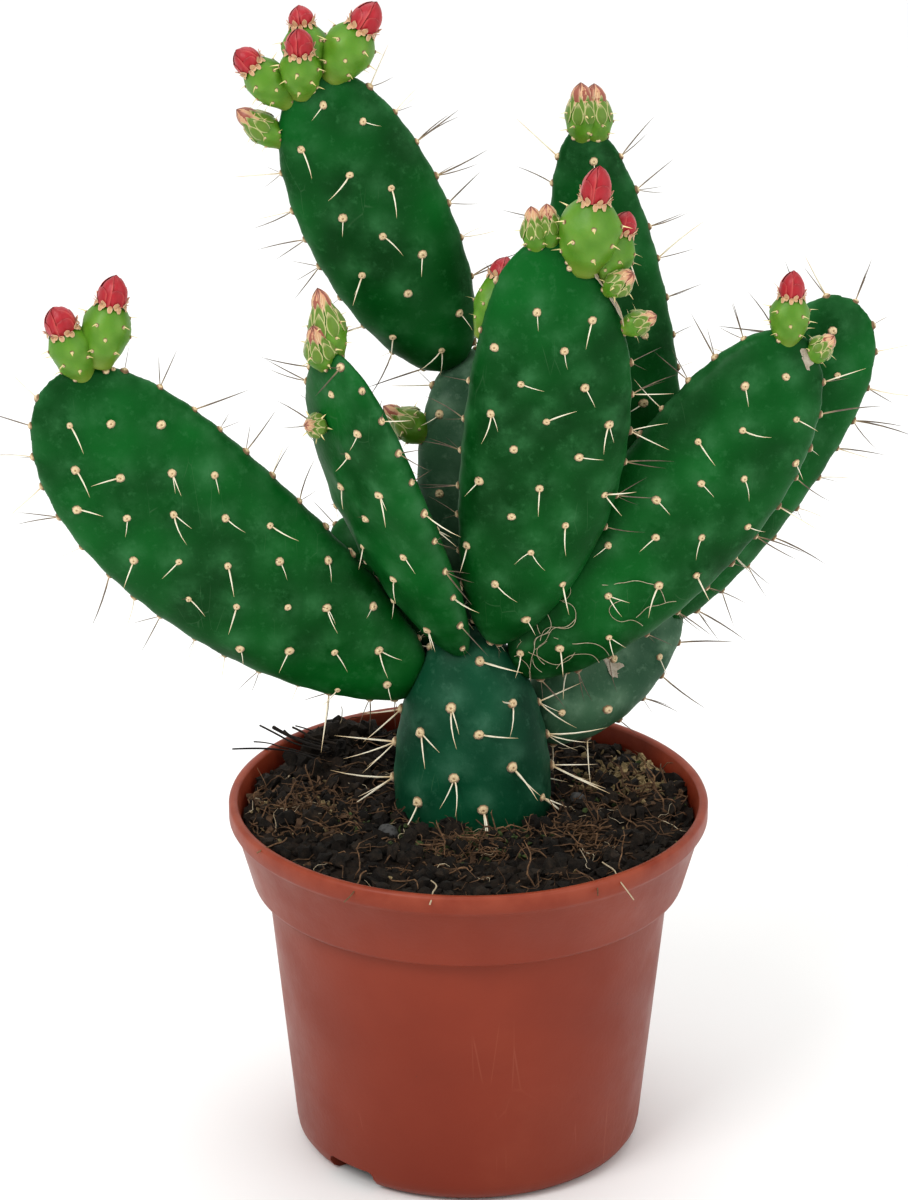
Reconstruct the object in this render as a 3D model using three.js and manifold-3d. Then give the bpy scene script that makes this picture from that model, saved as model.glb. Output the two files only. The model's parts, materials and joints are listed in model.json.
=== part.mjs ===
// A paddle cactus (prickly pear) in a round plastic nursery pot, in millimetres and degrees.
// The origin is the centre of the pot's underside, +Z is up and the plant's front faces -Y.
// The plant is a growth tree: each pad or bud stands on a named pad, at a place given as shares
// of that pad's own length, half width and half thickness, so it follows when the pad changes.

import * as THREE from "three";
import { mergeVertices } from "three/addons/utils/BufferGeometryUtils.js";
import Module from "manifold-3d";

const wasm = await Module();
wasm.setup();

// ---------------------------------------------------------------- driving dimensions

const CLEARANCE = 0.3; // gap kept between two pieces that touch

const POT_HEIGHT = 92.5;
const POT_WALL = 1.4;
const LIP_RADIUS = 60; // the pot's greatest radius
const LIP_HEIGHT = 5;
const LIP_THICKNESS = 2.4;
const LIP_ROUNDING = 0.9;
const COLLAR_HEIGHT = 21.5; // from the top of the lip to the collar's lower edge
const LIP_OVERHANG = 1.6; // how far the lip stands out beyond the collar
const COLLAR_TAPER = 4; // how much narrower the collar is at its lower edge
const COLLAR_ROUNDING = 1.2;
const SHELF = 3.8; // the step in from the collar's lower edge to the body
const BODY_TAPER = 7.2; // how much narrower the body is at its foot
const FOOT_ROUNDING = 5.5;
const DRAIN_COUNT = 2;
const DRAIN_WIDTH = 15;
const DRAIN_HEIGHT = 5.2;
const DRAIN_DEPTH = 9; // how far a drain slot runs in under the floor
const DRAIN_CORNER = 1.8;
const DRAIN_TURN = -43; // first slot, degrees round from the front
const POT_SIDES = 48;

const SOIL_BELOW_RIM = 5; // at the pot's wall
const SOIL_HOLLOW = 2.5; // how much lower the soil lies at the plant
const CLOD_HEIGHT = 0.6;
const CLOD_WAVE_X = 20; // lengths of the three waves that the clods are made of
const CLOD_WAVE_Y = 23;
const CLOD_WAVE_SLANT = 12;
const SLANT_SHARE = 0.6; // height of the slanting wave over that of the others
const SOIL_SIDES = 32;
const SOIL_RINGS = 6;

const PLANT_X = 2;
const PLANT_Y = 7;
const PLANTING_DEPTH = 24.5; // how far the trunk reaches below the soil round it

const PAD_SIDES = 16;
const PAD_RINGS = 12;
const PAD_SQUARENESS = 2.2; // 2 is a plain ellipse across the pad
const THICKEST = 0.35; // where a pad is thickest, as a share of its length
const TIP_THINNING = 0.12; // share of its thickness that a pad has lost at the tip
const TIP_BLUNTNESS = 2.6; // how suddenly the thickness ends at the tip; 2 is round

const BUD_SIDES = 8;
const BUD_ROOT = 2.5; // how far a bud's foot reaches into the pad it grows on
const BUD_CUP_DEPTH = 1.0;
const BUD_CUP_SHARE = 0.82; // width of the cup over the width of the petals that stand in it
const BUD_FOOT_SHARE = 0.5; // width of a bud's foot over its greatest width
const VESSEL_BULGE = [[0.3, 0.8], [0.6, 1]]; // shares of its height and of the way out from its foot
const PETAL_BULGE = [[0.4, 1], [0.82, 0.55]]; // shares of the petals' rise and of their half width

const BALL = 1; // radius of the unit ball that pads and pebbles are shaped from
const SAME_POINT = 1e-4; // vertices closer than this are one

// ---------------------------------------------------------------- finishes

function finish(color, roughness) {
  return new THREE.MeshStandardMaterial({ color, roughness, metalness: 0 });
}

const FINISH = {
  pot: () => finish(0xa04a35, 0.42),
  soil: () => finish(0x2b2019, 0.95),
  pebble: () => finish(0x6f6d68, 0.8),
  youngPad: () => finish(0x1f5c2c, 0.45),
  oldPad: () => finish(0x1f4a3c, 0.5),
  bud: () => finish(0x7fae45, 0.5),
  petal: () => finish(0xb5303f, 0.5),
  brownPetal: () => finish(0xa8703f, 0.6),
};

// ---------------------------------------------------------------- the pads
// on: the parent pad; along, across, front: where the pad's foot is on it, as shares of the
// parent's length, half width and half thickness. lean tips the pad to +X, tilt tips it to the
// back, turn spins its face about its own axis. widest is where along its length the pad is
// widest, taper is the fullness of its foot (2 is round, 1 is pointed) and blunt that of its tip.
// bow bends the middle to +X and cup bends it to the front.

const PADS = {
  trunk: {
    length: 73.5, width: 39, thickness: 28, lean: -1.6, tilt: 1.6, turn: 0,
    widest: 0.36, taper: 2, blunt: 2.3, bow: 0, cup: 0, finish: "oldPad",
  },
  pad_centre: {
    on: "trunk", along: 0.98, across: 0.36, front: 0.45,
    length: 107, width: 39.5, thickness: 15, lean: 7, tilt: -3, turn: 0,
    widest: 0.54, taper: 1.7, blunt: 2.3, bow: 4.8, cup: 0, finish: "youngPad",
  },
  pad_right: {
    on: "trunk", along: 0.84, across: 0.58, front: 0.1,
    length: 111.5, width: 38.5, thickness: 15, lean: 39, tilt: 2.6, turn: 0,
    widest: 0.6, taper: 1.9, blunt: 2.2, bow: 4.4, cup: 0, finish: "youngPad",
  },
  pad_left: {
    on: "trunk", along: 0.785, across: -0.58, front: 0,
    length: 124, width: 46.5, thickness: 15.5, lean: -47.1, tilt: -4.6, turn: 0,
    widest: 0.62, taper: 1.75, blunt: 2.4, bow: -5.7, cup: 0, finish: "youngPad",
  },
  pad_narrow: {
    on: "trunk", along: 0.932, across: -0.08, front: 0.376,
    length: 90.3, width: 33, thickness: 13, lean: -21, tilt: -8.5, turn: -52,
    widest: 0.63, taper: 1.5, blunt: 2, bow: -3.2, cup: 2, finish: "youngPad",
  },
  pad_back_stem: {
    on: "trunk", along: 0.93, across: 0.22, front: -0.4,
    length: 73, width: 30, thickness: 13, lean: -2.5, tilt: 11, turn: 0,
    widest: 0.58, taper: 1.6, blunt: 2, bow: 0, cup: 0, finish: "oldPad",
  },
  pad_upper_left: {
    on: "pad_back_stem", along: 0.945, across: -0.36, front: 0.17,
    length: 85, width: 35, thickness: 14, lean: -24, tilt: -5.4, turn: 0,
    widest: 0.54, taper: 2, blunt: 2.2, bow: -0.9, cup: 0, finish: "youngPad",
  },
  pad_back_left: {
    on: "trunk", along: 0.85, across: -0.43, front: -0.475,
    length: 42.8, width: 22, thickness: 11, lean: -34, tilt: 11, turn: 0,
    widest: 0.58, taper: 1.5, blunt: 2, bow: 0, cup: 0, finish: "youngPad",
  },
  pad_lower_right: {
    on: "trunk", along: 0.58, across: 0.8, front: -0.4,
    length: 52, width: 27, thickness: 15, lean: 49, tilt: 24, turn: 0,
    widest: 0.5, taper: 2, blunt: 2, bow: 0.6, cup: 0, finish: "oldPad",
  },
  pad_far_right: {
    on: "pad_lower_right", along: 0.8, across: 0.2, front: 0,
    length: 96.5, width: 28.5, thickness: 13, lean: 30.8, tilt: 7.5, turn: 0,
    widest: 0.7, taper: 1.7, blunt: 2.8, bow: 2, cup: 0, finish: "youngPad",
  },
  pad_back_right: {
    on: "pad_lower_right", along: 0.84, across: -0.42, front: -0.1,
    length: 123.5, width: 30.5, thickness: 13.5, lean: -6.9, tilt: 2, turn: 0,
    widest: 0.46, taper: 1.7, blunt: 1.9, bow: 1, cup: 0, finish: "youngPad",
  },
};

// ---------------------------------------------------------------- the buds
// at: along, across and front, as for a pad. splay turns the bud from the pad's own axis towards
// the pad's right margin and nod turns it to the pad's front. width and body are the green
// seed vessel's width and its length above the pad; petals are the width and length of the
// closed petals in its cup.

const BUDS = {
  left: [
    { at: [0.968, 0.38, 0], splay: 26, nod: 9, width: 10, body: 12.5, petals: [7.6, 6.5] },
    { at: [0.955, 0.64, 0], splay: 56, nod: 0, width: 10.8, body: 14, petals: [7.2, 7.5] },
  ],
  upper_left: [
    { at: [0.96, -0.46, 0], splay: -16, nod: 7, width: 9.5, body: 12, petals: [6.5, 5.5] },
    { at: [0.97, -0.17, 0.35], splay: 22, nod: 9, width: 9, body: 10.5, petals: [6.6, 6.5] },
    { at: [0.975, -0.01, -0.4], splay: 15, nod: -4, width: 10, body: 13, petals: [6, 5] },
    { at: [0.968, 0.34, 0], splay: 53, nod: 0, width: 11.6, body: 13, petals: [7.4, 7.5] },
    { at: [0.853, -0.78, -0.1], splay: -27, nod: 0, width: 7, body: 8.5, petals: [5, 4], brown: true },
  ],
  narrow: [
    { at: [0.965, -0.1, 0.1], splay: 14, nod: 4, width: 7.5, body: 8.5, petals: [4.5, 4], brown: true },
    { at: [0.985, -0.02, -0.35], splay: -2, nod: -9, width: 8, body: 12, petals: [5, 5], brown: true },
    { at: [0.8, -0.3, 0.8], splay: 20, nod: 50, width: 5.5, body: 3.5, petals: [3, 2], brown: true },
  ],
  back_stem: [
    { at: [0.7, -0.84, 0], splay: -48, nod: 8, width: 8, body: 10, petals: [4.5, 4], brown: true },
  ],
  centre: [
    { at: [0.97, -0.2, 0], splay: -15, nod: 5, width: 6.5, body: 8, petals: [4, 3.5], brown: true },
    { at: [0.98, -0.05, 0], splay: -9, nod: 0, width: 6, body: 7.5, petals: [4, 3.5], brown: true },
    { at: [0.95, 0.41, 0.13], splay: -2, nod: 6, width: 13.6, body: 17.5, petals: [7.2, 9] },
    { at: [0.925, 0.66, -0.13], splay: 10, nod: -3, width: 8.8, body: 11.5, petals: [5.6, 5.2] },
    { at: [0.905, 0.7, 0.3], splay: 34, nod: 24, width: 6, body: 5.5, petals: [4, 2.5], brown: true },
    { at: [0.81, 0.88, 0], splay: 59, nod: 0, width: 6, body: 5.5, petals: [4, 2.5], brown: true },
    { at: [0.755, -0.83, -0.35], splay: 10, nod: -20, width: 8.5, body: 13, petals: [6.5, 5.5] },
  ],
  back_right: [
    { at: [0.975, -0.02, 0.1], splay: 2, nod: 4, width: 7.5, body: 9.5, petals: [5, 4.5], brown: true },
    { at: [0.97, 0.14, -0.1], splay: 10, nod: 0, width: 8, body: 9, petals: [5, 4.5], brown: true },
  ],
  right: [
    { at: [0.975, -0.17, 0], splay: -36, nod: 3, width: 9.4, body: 11, petals: [6.2, 6.6] },
    { at: [0.975, 0.22, 0], splay: 4, nod: 8, width: 6, body: 5.5, petals: [4, 2.5], brown: true },
  ],
};

// ---------------------------------------------------------------- the pebbles
// fromTrunk: how far beyond the trunk's half width a pebble lies from the trunk's axis, or
// fromWall: how far in from the soil's edge; turn: degrees round from the front; size: length,
// breadth and height; sunk: share of the height that is under the soil.

const PEBBLES = {
  pebble_left: { fromTrunk: 7.7, turn: -54.3, size: [6.5, 5, 4.2], sunk: 0.35 },
  pebble_right: { fromTrunk: 6.6, turn: 99.2, size: [4.6, 4, 3.4], sunk: 0.35 },
  pebble_back: { fromWall: 5.7, turn: 128, size: [5, 4.2, 3.8], sunk: 0.35 },
};

// ---------------------------------------------------------------- solids

const radians = THREE.MathUtils.degToRad;

// A manifold-3d solid of a closed geometry, moved by a matrix.
function solidOf(geometry, matrix = new THREE.Matrix4()) {
  const bare = geometry.clone().applyMatrix4(matrix);
  bare.deleteAttribute("normal");
  bare.deleteAttribute("uv");
  const merged = mergeVertices(bare, SAME_POINT);
  return new wasm.Manifold(
    new wasm.Mesh({
      numProp: 3,
      vertProperties: new Float32Array(merged.attributes.position.array),
      triVerts: new Uint32Array(merged.index.array),
    }),
  );
}

// The geometry of a solid, moved by a matrix.
function geometryOf(solid, matrix = new THREE.Matrix4()) {
  const { vertProperties, triVerts, numProp } = solid.getMesh();
  const geometry = new THREE.BufferGeometry();
  geometry.setAttribute("position", new THREE.Float32BufferAttribute(vertProperties, numProp));
  geometry.setIndex(new THREE.Uint32BufferAttribute(triVerts, 1));
  geometry.applyMatrix4(matrix);
  geometry.computeVertexNormals();
  return geometry;
}

// The largest separate body of a solid: what is left of a piece once its neighbours are cut away.
function largestBody(solid) {
  const bodies = solid.decompose();
  return bodies.reduce((best, body) => (body.volume() > best.volume() ? body : best));
}

// A solid of revolution about +Z from [radius, height] pairs that start and end on the axis.
function turned(profile, sides) {
  const points = profile.map(([radius, height]) => new THREE.Vector2(radius, height));
  return new THREE.LatheGeometry(points, sides).rotateX(Math.PI / 2);
}

// A quarter arc of [radius, height] pairs round a centre, between two angles in degrees.
function arc(centreRadius, centreHeight, rounding, from, to, steps) {
  const points = [];
  for (let i = 0; i <= steps; i += 1) {
    const angle = radians(from + ((to - from) * i) / steps);
    points.push([
      centreRadius + rounding * Math.cos(angle),
      centreHeight + rounding * Math.sin(angle),
    ]);
  }
  return points;
}

const root = new THREE.Group();

function addMesh(parent, name, geometry, material) {
  const mesh = new THREE.Mesh(geometry, material);
  mesh.name = name;
  parent.add(mesh);
  return mesh;
}

// ---------------------------------------------------------------- the pot

const collarFoot = POT_HEIGHT - COLLAR_HEIGHT;
const lipFoot = POT_HEIGHT - LIP_HEIGHT;
const innerLipRadius = LIP_RADIUS - LIP_THICKNESS;
const collarTopRadius = LIP_RADIUS - LIP_OVERHANG;
const collarFootRadius = collarTopRadius - COLLAR_TAPER;
const bodyTopRadius = collarFootRadius - SHELF;
const bodyFootRadius = bodyTopRadius - BODY_TAPER;

// The radius of the outside of the pot's body below its collar.
function bodyRadius(height) {
  return THREE.MathUtils.mapLinear(height, 0, collarFoot, bodyFootRadius, bodyTopRadius);
}

// The radius of the pot's inside in its collar and its lip.
function innerRadius(height) {
  const underLip = collarTopRadius - POT_WALL;
  if (height < lipFoot) {
    return THREE.MathUtils.mapLinear(
      height, collarFoot, lipFoot, collarFootRadius - POT_WALL, underLip);
  }
  return THREE.MathUtils.mapLinear(
    height, lipFoot, POT_HEIGHT - LIP_ROUNDING, underLip, innerLipRadius);
}

// The inside of the pot from a height in its collar or lip to its floor, drawn in by a gap.
function innerProfile(gap, top) {
  const inset = POT_WALL + gap;
  const rounding = FOOT_ROUNDING - gap;
  const footCentre = bodyRadius(FOOT_ROUNDING) - inset - rounding;
  const underLip = top > lipFoot ? [[innerRadius(lipFoot) - gap, lipFoot]] : [];
  return [
    [innerRadius(top) - gap, top],
    ...underLip,
    [collarFootRadius - inset, collarFoot + inset],
    [bodyRadius(collarFoot - inset) - inset, collarFoot],
    ...arc(footCentre, inset + rounding, rounding, 0, -90, 3),
    [0, inset],
  ];
}

function potGeometry() {
  const footCentre = bodyRadius(FOOT_ROUNDING) - FOOT_ROUNDING;
  const collarCentre = collarFootRadius - COLLAR_ROUNDING;
  const outside = [
    [0, 0],
    ...arc(footCentre, FOOT_ROUNDING, FOOT_ROUNDING, -90, 0, 4),
    [bodyTopRadius, collarFoot],
    ...arc(collarCentre, collarFoot + COLLAR_ROUNDING, COLLAR_ROUNDING, -90, 0, 2),
    [collarTopRadius, lipFoot - LIP_ROUNDING],
    ...arc(LIP_RADIUS - LIP_ROUNDING, lipFoot + LIP_ROUNDING, LIP_ROUNDING, -60, 0, 1),
    ...arc(LIP_RADIUS - LIP_ROUNDING, POT_HEIGHT - LIP_ROUNDING, LIP_ROUNDING, 0, 90, 2),
  ];
  const inside = [
    ...arc(innerLipRadius + LIP_ROUNDING, POT_HEIGHT - LIP_ROUNDING, LIP_ROUNDING, 90, 180, 2),
    ...innerProfile(0, lipFoot),
  ];
  return turned([...outside, ...inside], POT_SIDES);
}

// A drain slot's cutter: a rounded bar that runs in through the wall just above the ground.
function drainCutter() {
  const half = DRAIN_WIDTH / 2;
  const below = -DRAIN_HEIGHT;
  const outline = new THREE.Shape();
  outline.moveTo(-half, below);
  outline.lineTo(half, below);
  outline.lineTo(half, DRAIN_HEIGHT - DRAIN_CORNER);
  outline.absarc(
    half - DRAIN_CORNER, DRAIN_HEIGHT - DRAIN_CORNER, DRAIN_CORNER, 0, Math.PI / 2, false);
  outline.absarc(
    DRAIN_CORNER - half, DRAIN_HEIGHT - DRAIN_CORNER, DRAIN_CORNER, Math.PI / 2, Math.PI, false);
  outline.closePath();
  const bar = new THREE.ExtrudeGeometry(outline, {
    depth: 2 * DRAIN_DEPTH,
    bevelEnabled: false,
    curveSegments: 3,
  });
  bar.rotateX(Math.PI / 2);
  return bar.translate(0, -(bodyFootRadius - DRAIN_DEPTH), 0);
}

let pot = solidOf(potGeometry());
for (let i = 0; i < DRAIN_COUNT; i += 1) {
  const turn = radians(DRAIN_TURN + (360 * i) / DRAIN_COUNT);
  pot = pot.subtract(solidOf(drainCutter(), new THREE.Matrix4().makeRotationZ(turn)));
}
addMesh(root, "pot", geometryOf(pot), FINISH.pot());

// ---------------------------------------------------------------- the plant's growth tree

const soilLevel = POT_HEIGHT - SOIL_BELOW_RIM;
const grown = []; // every piece so far: its name and its solid with the gap round it

// How full a pad is at a share of its length, from 0 at its ends to 1 where it is widest.
function widthShare(pad, share) {
  if (share <= pad.widest) {
    return (1 - (1 - share / pad.widest) ** 2) ** (1 / pad.taper);
  }
  const past = (share - pad.widest) / (1 - pad.widest);
  return Math.sqrt(Math.max(0, 1 - past ** pad.blunt));
}

function thicknessShare(share) {
  if (share <= THICKEST) {
    return Math.sqrt(1 - (1 - share / THICKEST) ** 2);
  }
  const past = (share - THICKEST) / (1 - THICKEST);
  return Math.sqrt(Math.max(0, 1 - past ** TIP_BLUNTNESS)) * (1 - TIP_THINNING * past);
}

function squared(cosine) {
  return Math.sign(cosine) * Math.abs(cosine) ** (2 / PAD_SQUARENESS);
}

// A pad about its own frame: x across, y to the back and z along, its foot at the origin.
function padGeometry(pad, swell = 0) {
  const ball = new THREE.SphereGeometry(BALL, PAD_SIDES, PAD_RINGS).rotateX(Math.PI / 2);
  const position = ball.attributes.position;
  for (let i = 0; i < position.count; i += 1) {
    const x = position.getX(i);
    const y = position.getY(i);
    const share = THREE.MathUtils.clamp((BALL + position.getZ(i)) / 2, 0, 1);
    const out = Math.hypot(x, y) || 1;
    const halfWidth = (pad.width / 2 + swell) * widthShare(pad, share);
    const halfThickness = (pad.thickness / 2 + swell) * thicknessShare(share);
    const arch = 4 * share * (1 - share);
    position.setXYZ(
      i,
      halfWidth * squared(x / out) + pad.bow * arch,
      halfThickness * squared(y / out) - pad.cup * arch,
      share * (pad.length + 2 * swell) - swell,
    );
  }
  return ball;
}

// A point of a pad, in its own frame.
function padPoint(pad, along, across, front) {
  const arch = 4 * along * (1 - along);
  return new THREE.Vector3(
    (across * pad.width) / 2 + pad.bow * arch,
    (-front * pad.thickness) / 2 - pad.cup * arch,
    along * pad.length,
  );
}

function boxesMeet(a, b) {
  return [0, 1, 2].every((k) => a.min[k] <= b.max[k] && b.min[k] <= a.max[k]);
}

// Cuts from a solid every piece that has grown before it, each with the gap round it, apart from
// the piece that it fits into by its own shape.
function cutByNeighbours(solid, holder) {
  let cut = solid;
  for (const piece of grown) {
    const near = boxesMeet(solid.boundingBox(), piece.swollen.boundingBox());
    if (near && piece.name !== holder) {
      cut = cut.subtract(piece.swollen);
    }
  }
  return largestBody(cut);
}

// Adds a piece of the plant to its frame: its geometry is cut in the plant's space, where the
// neighbours are, and then put back into the frame's own space.
function grow(frame, name, shape, material, holder = "") {
  frame.updateWorldMatrix(true, false);
  const solid = cutByNeighbours(solidOf(shape(0), frame.matrixWorld), holder);
  const inverse = frame.matrixWorld.clone().invert();
  addMesh(frame, name, geometryOf(solid, inverse), material);
  grown.push({ name, swollen: solidOf(shape(CLEARANCE), frame.matrixWorld) });
}

const frames = {};

// The frame of a pad: a group at its foot whose z axis runs along the pad.
function padFrame(pad) {
  const frame = new THREE.Group();
  if (pad.on) {
    const parent = frames[pad.on];
    parent.updateWorldMatrix(true, false);
    const foot = padPoint(PADS[pad.on], pad.along, pad.across, pad.front);
    frame.position.copy(foot.applyMatrix4(parent.matrixWorld));
  } else {
    frame.position.set(PLANT_X, PLANT_Y, soilLevel - SOIL_HOLLOW - PLANTING_DEPTH);
  }
  frame.rotation.order = "YXZ";
  frame.rotation.set(-radians(pad.tilt), radians(pad.lean), radians(pad.turn));
  root.add(frame);
  if (pad.on) {
    frame.updateWorldMatrix(true, false);
    frames[pad.on].attach(frame);
  }
  return frame;
}

for (const [name, pad] of Object.entries(PADS)) {
  frames[name] = padFrame(pad);
  grow(frames[name], name, (swell) => padGeometry(pad, swell), FINISH[pad.finish]());
}

// ---------------------------------------------------------------- the buds

// The radius of the cup in a seed vessel's top.
function cupRadius(bud) {
  return (BUD_CUP_SHARE * bud.petals[0]) / 2;
}

// The green seed vessel: a barrel on a narrow foot, with a shallow cup in its top.
function vesselGeometry(bud, swell) {
  const half = bud.width / 2 + swell;
  const rim = bud.petals[0] / 2 + swell;
  const foot = half * BUD_FOOT_SHARE;
  const top = bud.body + swell;
  const bulge = VESSEL_BULGE.map(([rise, out]) => [
    THREE.MathUtils.lerp(foot, half, out),
    THREE.MathUtils.lerp(-BUD_ROOT, bud.body, rise),
  ]);
  const cup = swell > 0
    ? [[0, top]]
    : [[cupRadius(bud), top], [cupRadius(bud), top - BUD_CUP_DEPTH], [0, top - BUD_CUP_DEPTH]];
  const under = -BUD_ROOT - swell;
  return turned([[0, under], [foot, under], ...bulge, [rim, top], ...cup], BUD_SIDES);
}

// The closed petals: an egg that stands in the vessel's cup.
function petalGeometry(bud, swell) {
  const half = bud.petals[0] / 2 + swell;
  const foot = cupRadius(bud) - CLEARANCE + swell;
  const floor = bud.body - BUD_CUP_DEPTH + CLEARANCE - swell;
  const rise = bud.petals[1] + swell;
  const egg = PETAL_BULGE.map(([up, out]) => [out * half, bud.body + up * rise]);
  return turned(
    [[0, floor], [foot, floor], [foot, bud.body + CLEARANCE], ...egg, [0, bud.body + rise]],
    BUD_SIDES,
  );
}

const budFrames = new Map();

for (const [padName, buds] of Object.entries(BUDS)) {
  const pad = PADS[`pad_${padName}`];
  buds.forEach((bud, index) => {
    const frame = new THREE.Group();
    frame.position.copy(padPoint(pad, ...bud.at));
    frame.rotation.order = "YXZ";
    frame.rotation.set(radians(bud.nod), radians(bud.splay), 0);
    frames[`pad_${padName}`].add(frame);
    const name = `bud_${padName}_${index + 1}`;
    grow(frame, name, (swell) => vesselGeometry(bud, swell), FINISH.bud());
    budFrames.set(name, { frame, bud });
  });
}

for (const [name, { frame, bud }] of budFrames) {
  const material = bud.brown ? FINISH.brownPetal() : FINISH.petal();
  grow(frame, `${name}_petals`, (swell) => petalGeometry(bud, swell), material, name);
}

// ---------------------------------------------------------------- the soil and the pebbles

const soilRadius = innerRadius(soilLevel) - CLEARANCE;

function wave(distance, length) {
  return Math.sin((2 * Math.PI * distance) / length);
}

// The height of the soil's surface: a shallow dish round the plant, with clods that fade at the wall.
function soilHeight(x, y) {
  const out = Math.min(1, Math.hypot(x, y) / soilRadius);
  const straight = wave(x, CLOD_WAVE_X) * wave(y, CLOD_WAVE_Y);
  const clods = straight + SLANT_SHARE * wave(x - y, CLOD_WAVE_SLANT);
  return soilLevel - SOIL_HOLLOW * (1 - out ** 2) + CLOD_HEIGHT * clods * (1 - out ** 6);
}

// The soil: a flat topped filling of the pot whose surface is then raised and lowered.
function soilGeometry() {
  const surface = [];
  for (let i = 0; i < SOIL_RINGS; i += 1) {
    surface.push([(soilRadius * i) / SOIL_RINGS, soilLevel]);
  }
  const side = innerProfile(CLEARANCE, soilLevel);
  const geometry = turned([...surface, ...side].reverse(), SOIL_SIDES);
  const position = geometry.attributes.position;
  for (let i = 0; i < position.count; i += 1) {
    if (Math.abs(position.getZ(i) - soilLevel) < SAME_POINT) {
      position.setZ(i, soilHeight(position.getX(i), position.getY(i)));
    }
  }
  return geometry;
}

function pebbleGeometry(pebble, swell) {
  const stone = new THREE.IcosahedronGeometry(BALL, 1);
  const [length, breadth, height] = pebble.size.map((size) => size / 2 + swell);
  stone.scale(length, breadth, height);
  return stone;
}

// Where a pebble lies on the soil.
function pebblePlace(pebble) {
  const turn = radians(pebble.turn - 90);
  const way = new THREE.Vector2(Math.cos(turn), Math.sin(turn));
  if (pebble.fromWall !== undefined) {
    return way.multiplyScalar(soilRadius - pebble.fromWall);
  }
  const out = PADS.trunk.width / 2 + pebble.fromTrunk;
  return way.multiplyScalar(out).add(new THREE.Vector2(PLANT_X, PLANT_Y));
}

for (const [name, pebble] of Object.entries(PEBBLES)) {
  const { x, y } = pebblePlace(pebble);
  const rise = (0.5 - pebble.sunk) * pebble.size[2];
  const frame = new THREE.Group();
  frame.position.set(x, y, soilHeight(x, y) + rise);
  frame.rotation.z = radians(pebble.turn);
  root.add(frame);
  grow(frame, name, (swell) => pebbleGeometry(pebble, swell), FINISH.pebble());
}

const soil = cutByNeighbours(solidOf(soilGeometry()), "");
addMesh(root, "soil", geometryOf(soil), FINISH.soil());

export default root;
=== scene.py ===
"""A paddle cactus in a round plastic nursery pot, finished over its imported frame.

Everything is in metres, +Z up, with the origin at the centre of the pot's underside and the
plant's front towards -Y. Pads, buds and pot take their shape and place from the frame's solids.
"""

import json
import math
import random

import bpy
import numpy as np
from mathutils import Matrix, Quaternion, Vector, noise
from mathutils.bvhtree import BVHTree


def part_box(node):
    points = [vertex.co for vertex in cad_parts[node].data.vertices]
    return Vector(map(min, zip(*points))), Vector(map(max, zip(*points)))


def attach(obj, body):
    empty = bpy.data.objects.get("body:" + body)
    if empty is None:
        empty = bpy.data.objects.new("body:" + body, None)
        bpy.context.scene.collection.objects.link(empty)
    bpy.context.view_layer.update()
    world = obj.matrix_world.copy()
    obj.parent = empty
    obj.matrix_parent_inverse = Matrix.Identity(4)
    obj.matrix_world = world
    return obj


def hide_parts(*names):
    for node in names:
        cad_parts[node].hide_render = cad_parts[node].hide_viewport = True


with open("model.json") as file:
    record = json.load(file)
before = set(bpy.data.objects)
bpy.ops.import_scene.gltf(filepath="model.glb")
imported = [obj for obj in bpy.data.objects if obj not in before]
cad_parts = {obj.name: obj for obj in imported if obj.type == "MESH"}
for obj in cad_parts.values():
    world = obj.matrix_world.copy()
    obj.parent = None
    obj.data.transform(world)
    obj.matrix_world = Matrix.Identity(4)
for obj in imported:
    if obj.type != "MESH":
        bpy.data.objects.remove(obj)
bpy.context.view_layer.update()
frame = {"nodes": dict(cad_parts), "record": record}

MM = 0.001
UP = Vector((0, 0, 1))
ROOT = "root"
MERGE_DISTANCE = 0.01 * MM
LENS_LENGTH = 137.7  # in millimetres, on a film 36 high
CAMERA_PLACE = Vector((-3.6, -1049.6, 564.9)) * MM
DOWNWARD_VIEW = 21.8  # degrees
dice = random.Random(41)

NODES = frame["nodes"]
PAD_NODES = [name for name in NODES if name == "trunk" or name.startswith("pad_")]
BUD_NODES = [name for name in NODES if name.startswith("bud_") and not name.endswith("_petals")]
HAZY_PADS = ("pad_back_stem", "pad_lower_right")  # old pads with a grey bloom
OLD_PADS = ("trunk", *HAZY_PADS)
SLOT_OF = {part["node"]: part["material_slot"] for part in frame["record"]["subparts"]}


# ---------------------------------------------------------------- camera, light and floor

def set_camera():
    """A long lens a little above the plant, looking down at the front of the pot."""
    data = bpy.data.cameras.new("portrait_lens")
    data.sensor_fit = "VERTICAL"
    data.sensor_height = 36
    data.lens = LENS_LENGTH
    camera = bpy.data.objects.new("camera", data)
    camera.location = CAMERA_PLACE
    camera.rotation_euler = (math.radians(90 - DOWNWARD_VIEW), 0, 0)
    bpy.context.collection.objects.link(camera)
    bpy.context.scene.camera = camera


def add_softbox(name, place, size, power):
    """A square soft light that faces the middle of the plant."""
    data = bpy.data.lights.new(name, "AREA")
    data.size = size
    data.energy = power
    light = bpy.data.objects.new(name, data)
    light.location = place
    aim = Vector((0, 0, 0.15)) - light.location
    light.rotation_euler = aim.to_track_quat("-Z", "Y").to_euler()
    bpy.context.collection.objects.link(light)


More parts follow.
